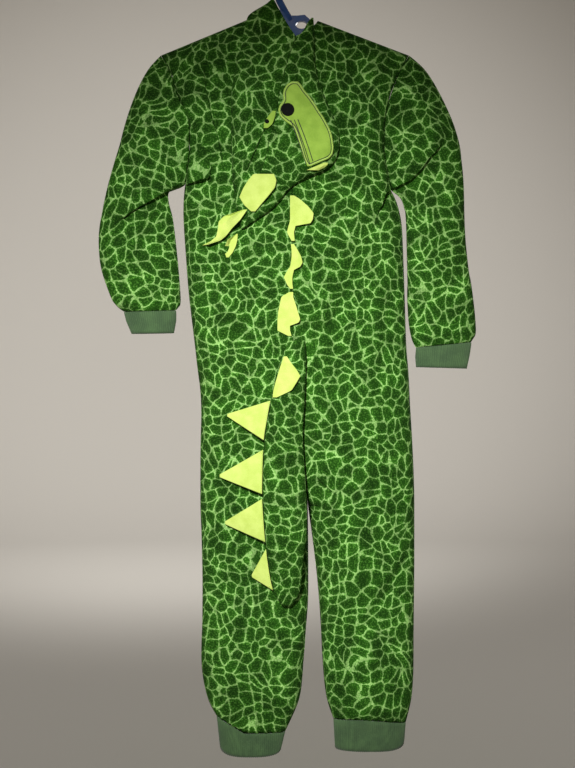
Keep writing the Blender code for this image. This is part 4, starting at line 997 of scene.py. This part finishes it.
def even_line(points, step, closed=False):
    """A smooth line through the points (Catmull-Rom), with a point about every step."""
    points = [np.array(p, float) for p in points]
    count = len(points)
    line = []
    for i in range(count if closed else count - 1):
        if closed:
            a, b, c, d = (points[(i + k) % count] for k in (-1, 0, 1, 2))
        else:
            a, b, c, d = (points[min(max(i + k, 0), count - 1)] for k in (-1, 0, 1, 2))
        pieces = max(1, round(np.linalg.norm(c - b) / step))
        for k in range(pieces):
            t = k / pieces
            line.append(0.5 * (2 * b + (c - a) * t + (2 * a - 5 * b + 4 * c - d) * t ** 2
                               + (3 * b - a - 3 * c + d) * t ** 3))
    if not closed:
        line.append(points[-1])
    return line


def rim_line(node, inset, step=2.0):
    """The outline of a solid's back face in (x, drop), moved inwards by the inset."""
    solid = bmesh.new()
    solid.from_mesh(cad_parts[node].data)
    bmesh.ops.remove_doubles(solid, verts=solid.verts[:], dist=1e-6)
    after = {}
    for face in solid.faces:
        if face.normal.y < -0.5:
            for loop in face.loops:
                other = loop.link_loop_radial_next.face
                if other.normal.y > -0.5:
                    after[loop.vert.index] = (loop.link_loop_next.vert.index, loop.vert.co.copy())
    first = now = next(iter(after))
    ring = []
    while now in after and len(ring) <= len(after):
        now, co = after[now]
        ring.append(np.array([co.x, -co.z]) * 1000)
        if now == first:
            break
    solid.free()
    ring = even_line(ring, step, closed=True)
    smooth = [sum(ring[(k + j) % len(ring)] for j in (-2, -1, 0, 1, 2)) / 5 for k in range(len(ring))]
    centre = sum(smooth) / len(smooth)
    moved = []
    for k, point in enumerate(smooth):
        run = smooth[(k + 1) % len(smooth)] - smooth[k - 1]
        normal = np.array([-run[1], run[0]]) / max(1e-6, np.linalg.norm(run))
        if np.dot(normal, centre - point) < 0:
            normal = -normal
        moved.append(point + normal * inset)
    return moved


# %% Sew the eye patch, its mouth lines, the spikes and the zip
PATCH_SKIN = skin_of(FELT_PIECES["eye_patch_right"])
MOUTH_LINES = [[(-8.0, 223), (-1.5, 240), (5.5, 260), (12.5, 281)],
               [(-3.5, 222.5), (2.5, 238), (9.5, 257), (15.8, 277)],
               [(1.0, 222), (7.0, 237), (13.5, 255), (19.5, 273)]]
sewing = {}
for name, node, inset, finish, pitch, length, thick, turn in (
        ("patch_satin", "eye_patch_right", 1.5, LIME_THREAD, 0.55, 2.6, 0.6, math.pi / 2),
        ("patch_line", "eye_patch_right", 3.1, DARK_THREAD, 1.5, 1.9, 1.1, 0.0)):
    line = laid_on(PATCH_SKIN, rim_line(node, inset), -1, 0.15)
    sewing[name] = sewn(name, [(line, True)], finish, pitch, length, thick, turn)
sewing["mouth_lines"] = sewn("mouth_lines", [(laid_on(PATCH_SKIN, even_line(line, 2.0), -1, 0.15), False)
                                             for line in MOUTH_LINES], DARK_THREAD, 1.4, 1.9, 1.3)


def sewn_edge(node, side, inset):
    """The sewn edge of a spike, on its left (-1) or right (1), as points on its back face."""
    rim = rim_line(node, inset)
    far = max(side * x for x, _ in rim)
    edge = sorted(((x, drop) for x, drop in rim if side * x > far - 5.0), key=lambda p: p[1])
    return laid_on(skin_of(FELT_PIECES[node]), edge, -1, 0.1)


lines = [(sewn_edge("spike_tail_" + str(k), 1, 1.6), False) for k in (1, 2, 3, 4)]
sewing["tail_spike_seams"] = sewn("tail_spike_seams", lines, LIME_THREAD, 2.4, 2.0, 0.55)


def zip_line(offset, lift):
    """Points along the zip's chain on its front face, beside its centre by the offset."""
    rows = {}
    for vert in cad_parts["zip_chain"].data.vertices:
        rows.setdefault(round(vert.co.z, 4), []).append(vert.co)
    line = []
    for height, corners in sorted(rows.items()):
        if len(corners) >= 4:
            middle = (min(c.x for c in corners) + max(c.x for c in corners)) / 2
            line.append(Vector((middle + offset * MM, max(c.y for c in corners) + lift * MM, height)))
    return line


TOOTH_PITCH, TOOTH_LEAN = 1.9, 0.28
below_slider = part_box("zip_slider")[0].z
for name, offset, lean in (("zip_coil_left", -0.95, TOOTH_LEAN), ("zip_coil_right", 0.95, -TOOTH_LEAN)):
    line = [point for point in zip_line(offset, -0.05) if point.z < below_slider]
    sewing[name] = sewn(name, [(line, False)], ZIP_TAPE, TOOTH_PITCH, 2.5, 1.15, math.pi / 2 + lean)
front_skin = skin_of(FLEECE_PIECES["front_left"], FLEECE_PIECES["front_right"])
lines = []
for offset in (-7.5, 7.5):
    beside = [(point.x * 1000, -point.z * 1000) for point in zip_line(offset, 0)]
    lines.append((laid_on(front_skin, even_line(beside, 3.0), 1, 0.1), False))
sewing["zip_topstitch"] = sewn("zip_topstitch", lines, DARK_THREAD, 3.4, 2.5, 0.7)
for name, item in sewing.items():
    print(name, len(item.data.polygons), "faces")

# %% [markdown]
# The width and length of each piece's cut are an estimate from the photograph. Every piece,
# and every line of stitches, is parented to one empty, so all of it moves as one.

# %% Cuts: width and length of the cut in metres
CUTS = {
    "back_left": (0.20, 0.95), "back_right": (0.20, 0.95),
    "front_left": (0.20, 0.95), "front_right": (0.20, 0.95),
    "sleeve_left": (0.25, 0.36), "sleeve_right": (0.25, 0.40), "hood_left": (0.16, 0.30),
    "hood_right": (0.18, 0.27), "hood_end_left": (0.045, 0.045), "hood_end_right": (0.03, 0.036),
    "tail_left": (0.075, 0.34), "tail_right": (0.075, 0.34),
    "cuff_wrist_left": (0.145, 0.032), "cuff_wrist_right": (0.155, 0.036),
    "cuff_ankle_left": (0.19, 0.050), "cuff_ankle_right": (0.20, 0.045),
}
# The least side that is worked out for a piece; the hood's smallest spike is only 9.5 mm high
LEAST_SIDE = 0.011


for node, item in {**FLEECE_PIECES, **CUFF_PIECES, **FELT_PIECES}.items():
    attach(item, COSTUME)
    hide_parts(node)
    if node in CUTS:
        width, length = CUTS[node]
    else:
        low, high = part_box(node)
        width, length = max(LEAST_SIDE, high.x - low.x), max(LEAST_SIDE, high.z - low.z)

for name, item in sewing.items():
    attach(item, COSTUME)

# %% The pieces that keep their solid shape
for node, material in (("hanger", BLUE_PLASTIC), ("zip_chain", ZIP_TAPE), ("zip_slider", ZIP_METAL),
                       ("pull_tab", ZIP_METAL)):
    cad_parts[node].data.materials.clear()
    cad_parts[node].data.materials.append(material)

# %% [markdown]
# ## Room, light and camera
# A pale floor that curves up far away on all sides, so no edge shows from any view. The light is
# soft and comes from the camera's side, a little from above and from the left, strongest at the
# middle of the suit, with a dim even light from all round. The suit and the room have lights of
# their own, by light linking, so each can be as bright as it is behind a real flash.

# %% Floor, lights, camera
FLOOR_DROP, FLAT_RADIUS, CURVE_RADIUS, WALL_TOP = 1.13, 3.4, 3.0, 1.2
CURVE_STEPS, FLOOR_SECTORS, ROOM_GLOW = 12, 64, 0.12
profile = [(0.0, 0.0), (FLAT_RADIUS, 0.0)]
for k in range(1, CURVE_STEPS + 1):
    turn = math.pi / 2 * k / CURVE_STEPS
    profile.append((FLAT_RADIUS + CURVE_RADIUS * math.sin(turn), CURVE_RADIUS * (1 - math.cos(turn))))
profile.append((FLAT_RADIUS + CURVE_RADIUS, CURVE_RADIUS + WALL_TOP))
room = bmesh.new()
line = [room.verts.new((radius, 0, height - FLOOR_DROP)) for radius, height in profile]
edges = [room.edges.new(pair) for pair in zip(line, line[1:])]
bmesh.ops.spin(room, geom=line + edges, axis=(0, 0, 1), cent=(0, 0, 0), angle=2 * math.pi,
               steps=FLOOR_SECTORS)
bmesh.ops.remove_doubles(room, verts=room.verts[:], dist=1e-4)
bmesh.ops.recalc_face_normals(room, faces=room.faces[:])
floor_mesh = bpy.data.meshes.new("floor")
room.to_mesh(floor_mesh)
room.free()
floor_mesh.shade_smooth()
floor = linked("floor", floor_mesh)
floor_finish, _, floor_shader = new_finish("pale_floor", 0.9)
floor_shader.inputs["Base Color"].default_value = linear_rgb("e0dad0")
floor_mesh.materials.append(floor_finish)
room_only, not_room = (bpy.data.collections.new(name) for name in ("room_only", "not_room"))
for group in (room_only, not_room):
    group.objects.link(floor)
not_room.collection_objects[0].light_linking.link_state = "EXCLUDE"

world = bpy.data.worlds.new("studio")
bpy.context.scene.world = world
world.use_nodes = True
glow = world.node_tree.nodes["Background"].inputs
glow[0].default_value, glow[1].default_value = linear_rgb("f4f0ea"), ROOM_GLOW
bpy.context.scene.view_settings.view_transform = "Standard"


def aimed(name, light, place, aim, lit):
    """Aims a light that lights, and is blocked by, what the collection lit says."""
    item = bpy.data.objects.new(name, light)
    item.location = place
    item.rotation_euler = (Vector(aim) - Vector(place)).to_track_quat("-Z", "Y").to_euler()
    item.light_linking.receiver_collection = item.light_linking.blocker_collection = lit
    bpy.context.scene.collection.objects.link(item)
    return item


def soft_light(name, place, aim, size, watts, lit):
    light = bpy.data.lights.new(name, "AREA")
    light.size, light.energy = size, watts
    aimed(name, light, place, aim, lit).visible_camera = False


def pool_of_light(name, place, aim, cone_degrees, softness, watts, lit):
    light = bpy.data.lights.new(name, "SPOT")
    light.energy, light.shadow_soft_size = watts, softness
    light.spot_size, light.spot_blend = math.radians(cone_degrees), 1.0
    aimed(name, light, place, aim, lit)


pool_of_light("key", (-0.3, -1.9, 0.10), (0.0, 0, -0.64), 32.5, 0.08, 235, not_room)
pool_of_light("backdrop", (-0.3, -1.0, 0.45), (-0.4, 5.2, -0.40), 54, 0.30, 1020, room_only)
pool_of_light("front_backdrop", (0.3, 1.0, 0.45), (0.4, -5.2, -0.40), 60, 0.30, 800, room_only)
soft_light("left_rim", (-1.7, -0.7, 0.1), (0, 0, -0.5), 0.6, 2, not_room)
soft_light("front_side", (0.8, 2.2, 0.5), (0, 0, -0.5), 1.4, 46, not_room)
soft_light("floor_fill", (0, 0.8, 2.6), (0, 1.6, -1.13), 2.5, 32, room_only)

CAMERA_AWAY, BACK_DEPTH, VIEW_HEIGHT, VIEW_CENTRE = 1.8, 0.02, 0.983, (-0.0122, -0.554)
camera_data = bpy.data.cameras.new("camera")
camera_data.sensor_fit = "VERTICAL"
camera_data.angle_y = 2 * math.atan(VIEW_HEIGHT / 2 / CAMERA_AWAY)
camera = bpy.data.objects.new("camera", camera_data)
camera.location = (VIEW_CENTRE[0], -CAMERA_AWAY - BACK_DEPTH, VIEW_CENTRE[1])
camera.rotation_euler = (math.pi / 2, 0, 0)
bpy.context.scene.collection.objects.link(camera)
bpy.context.scene.camera = camera
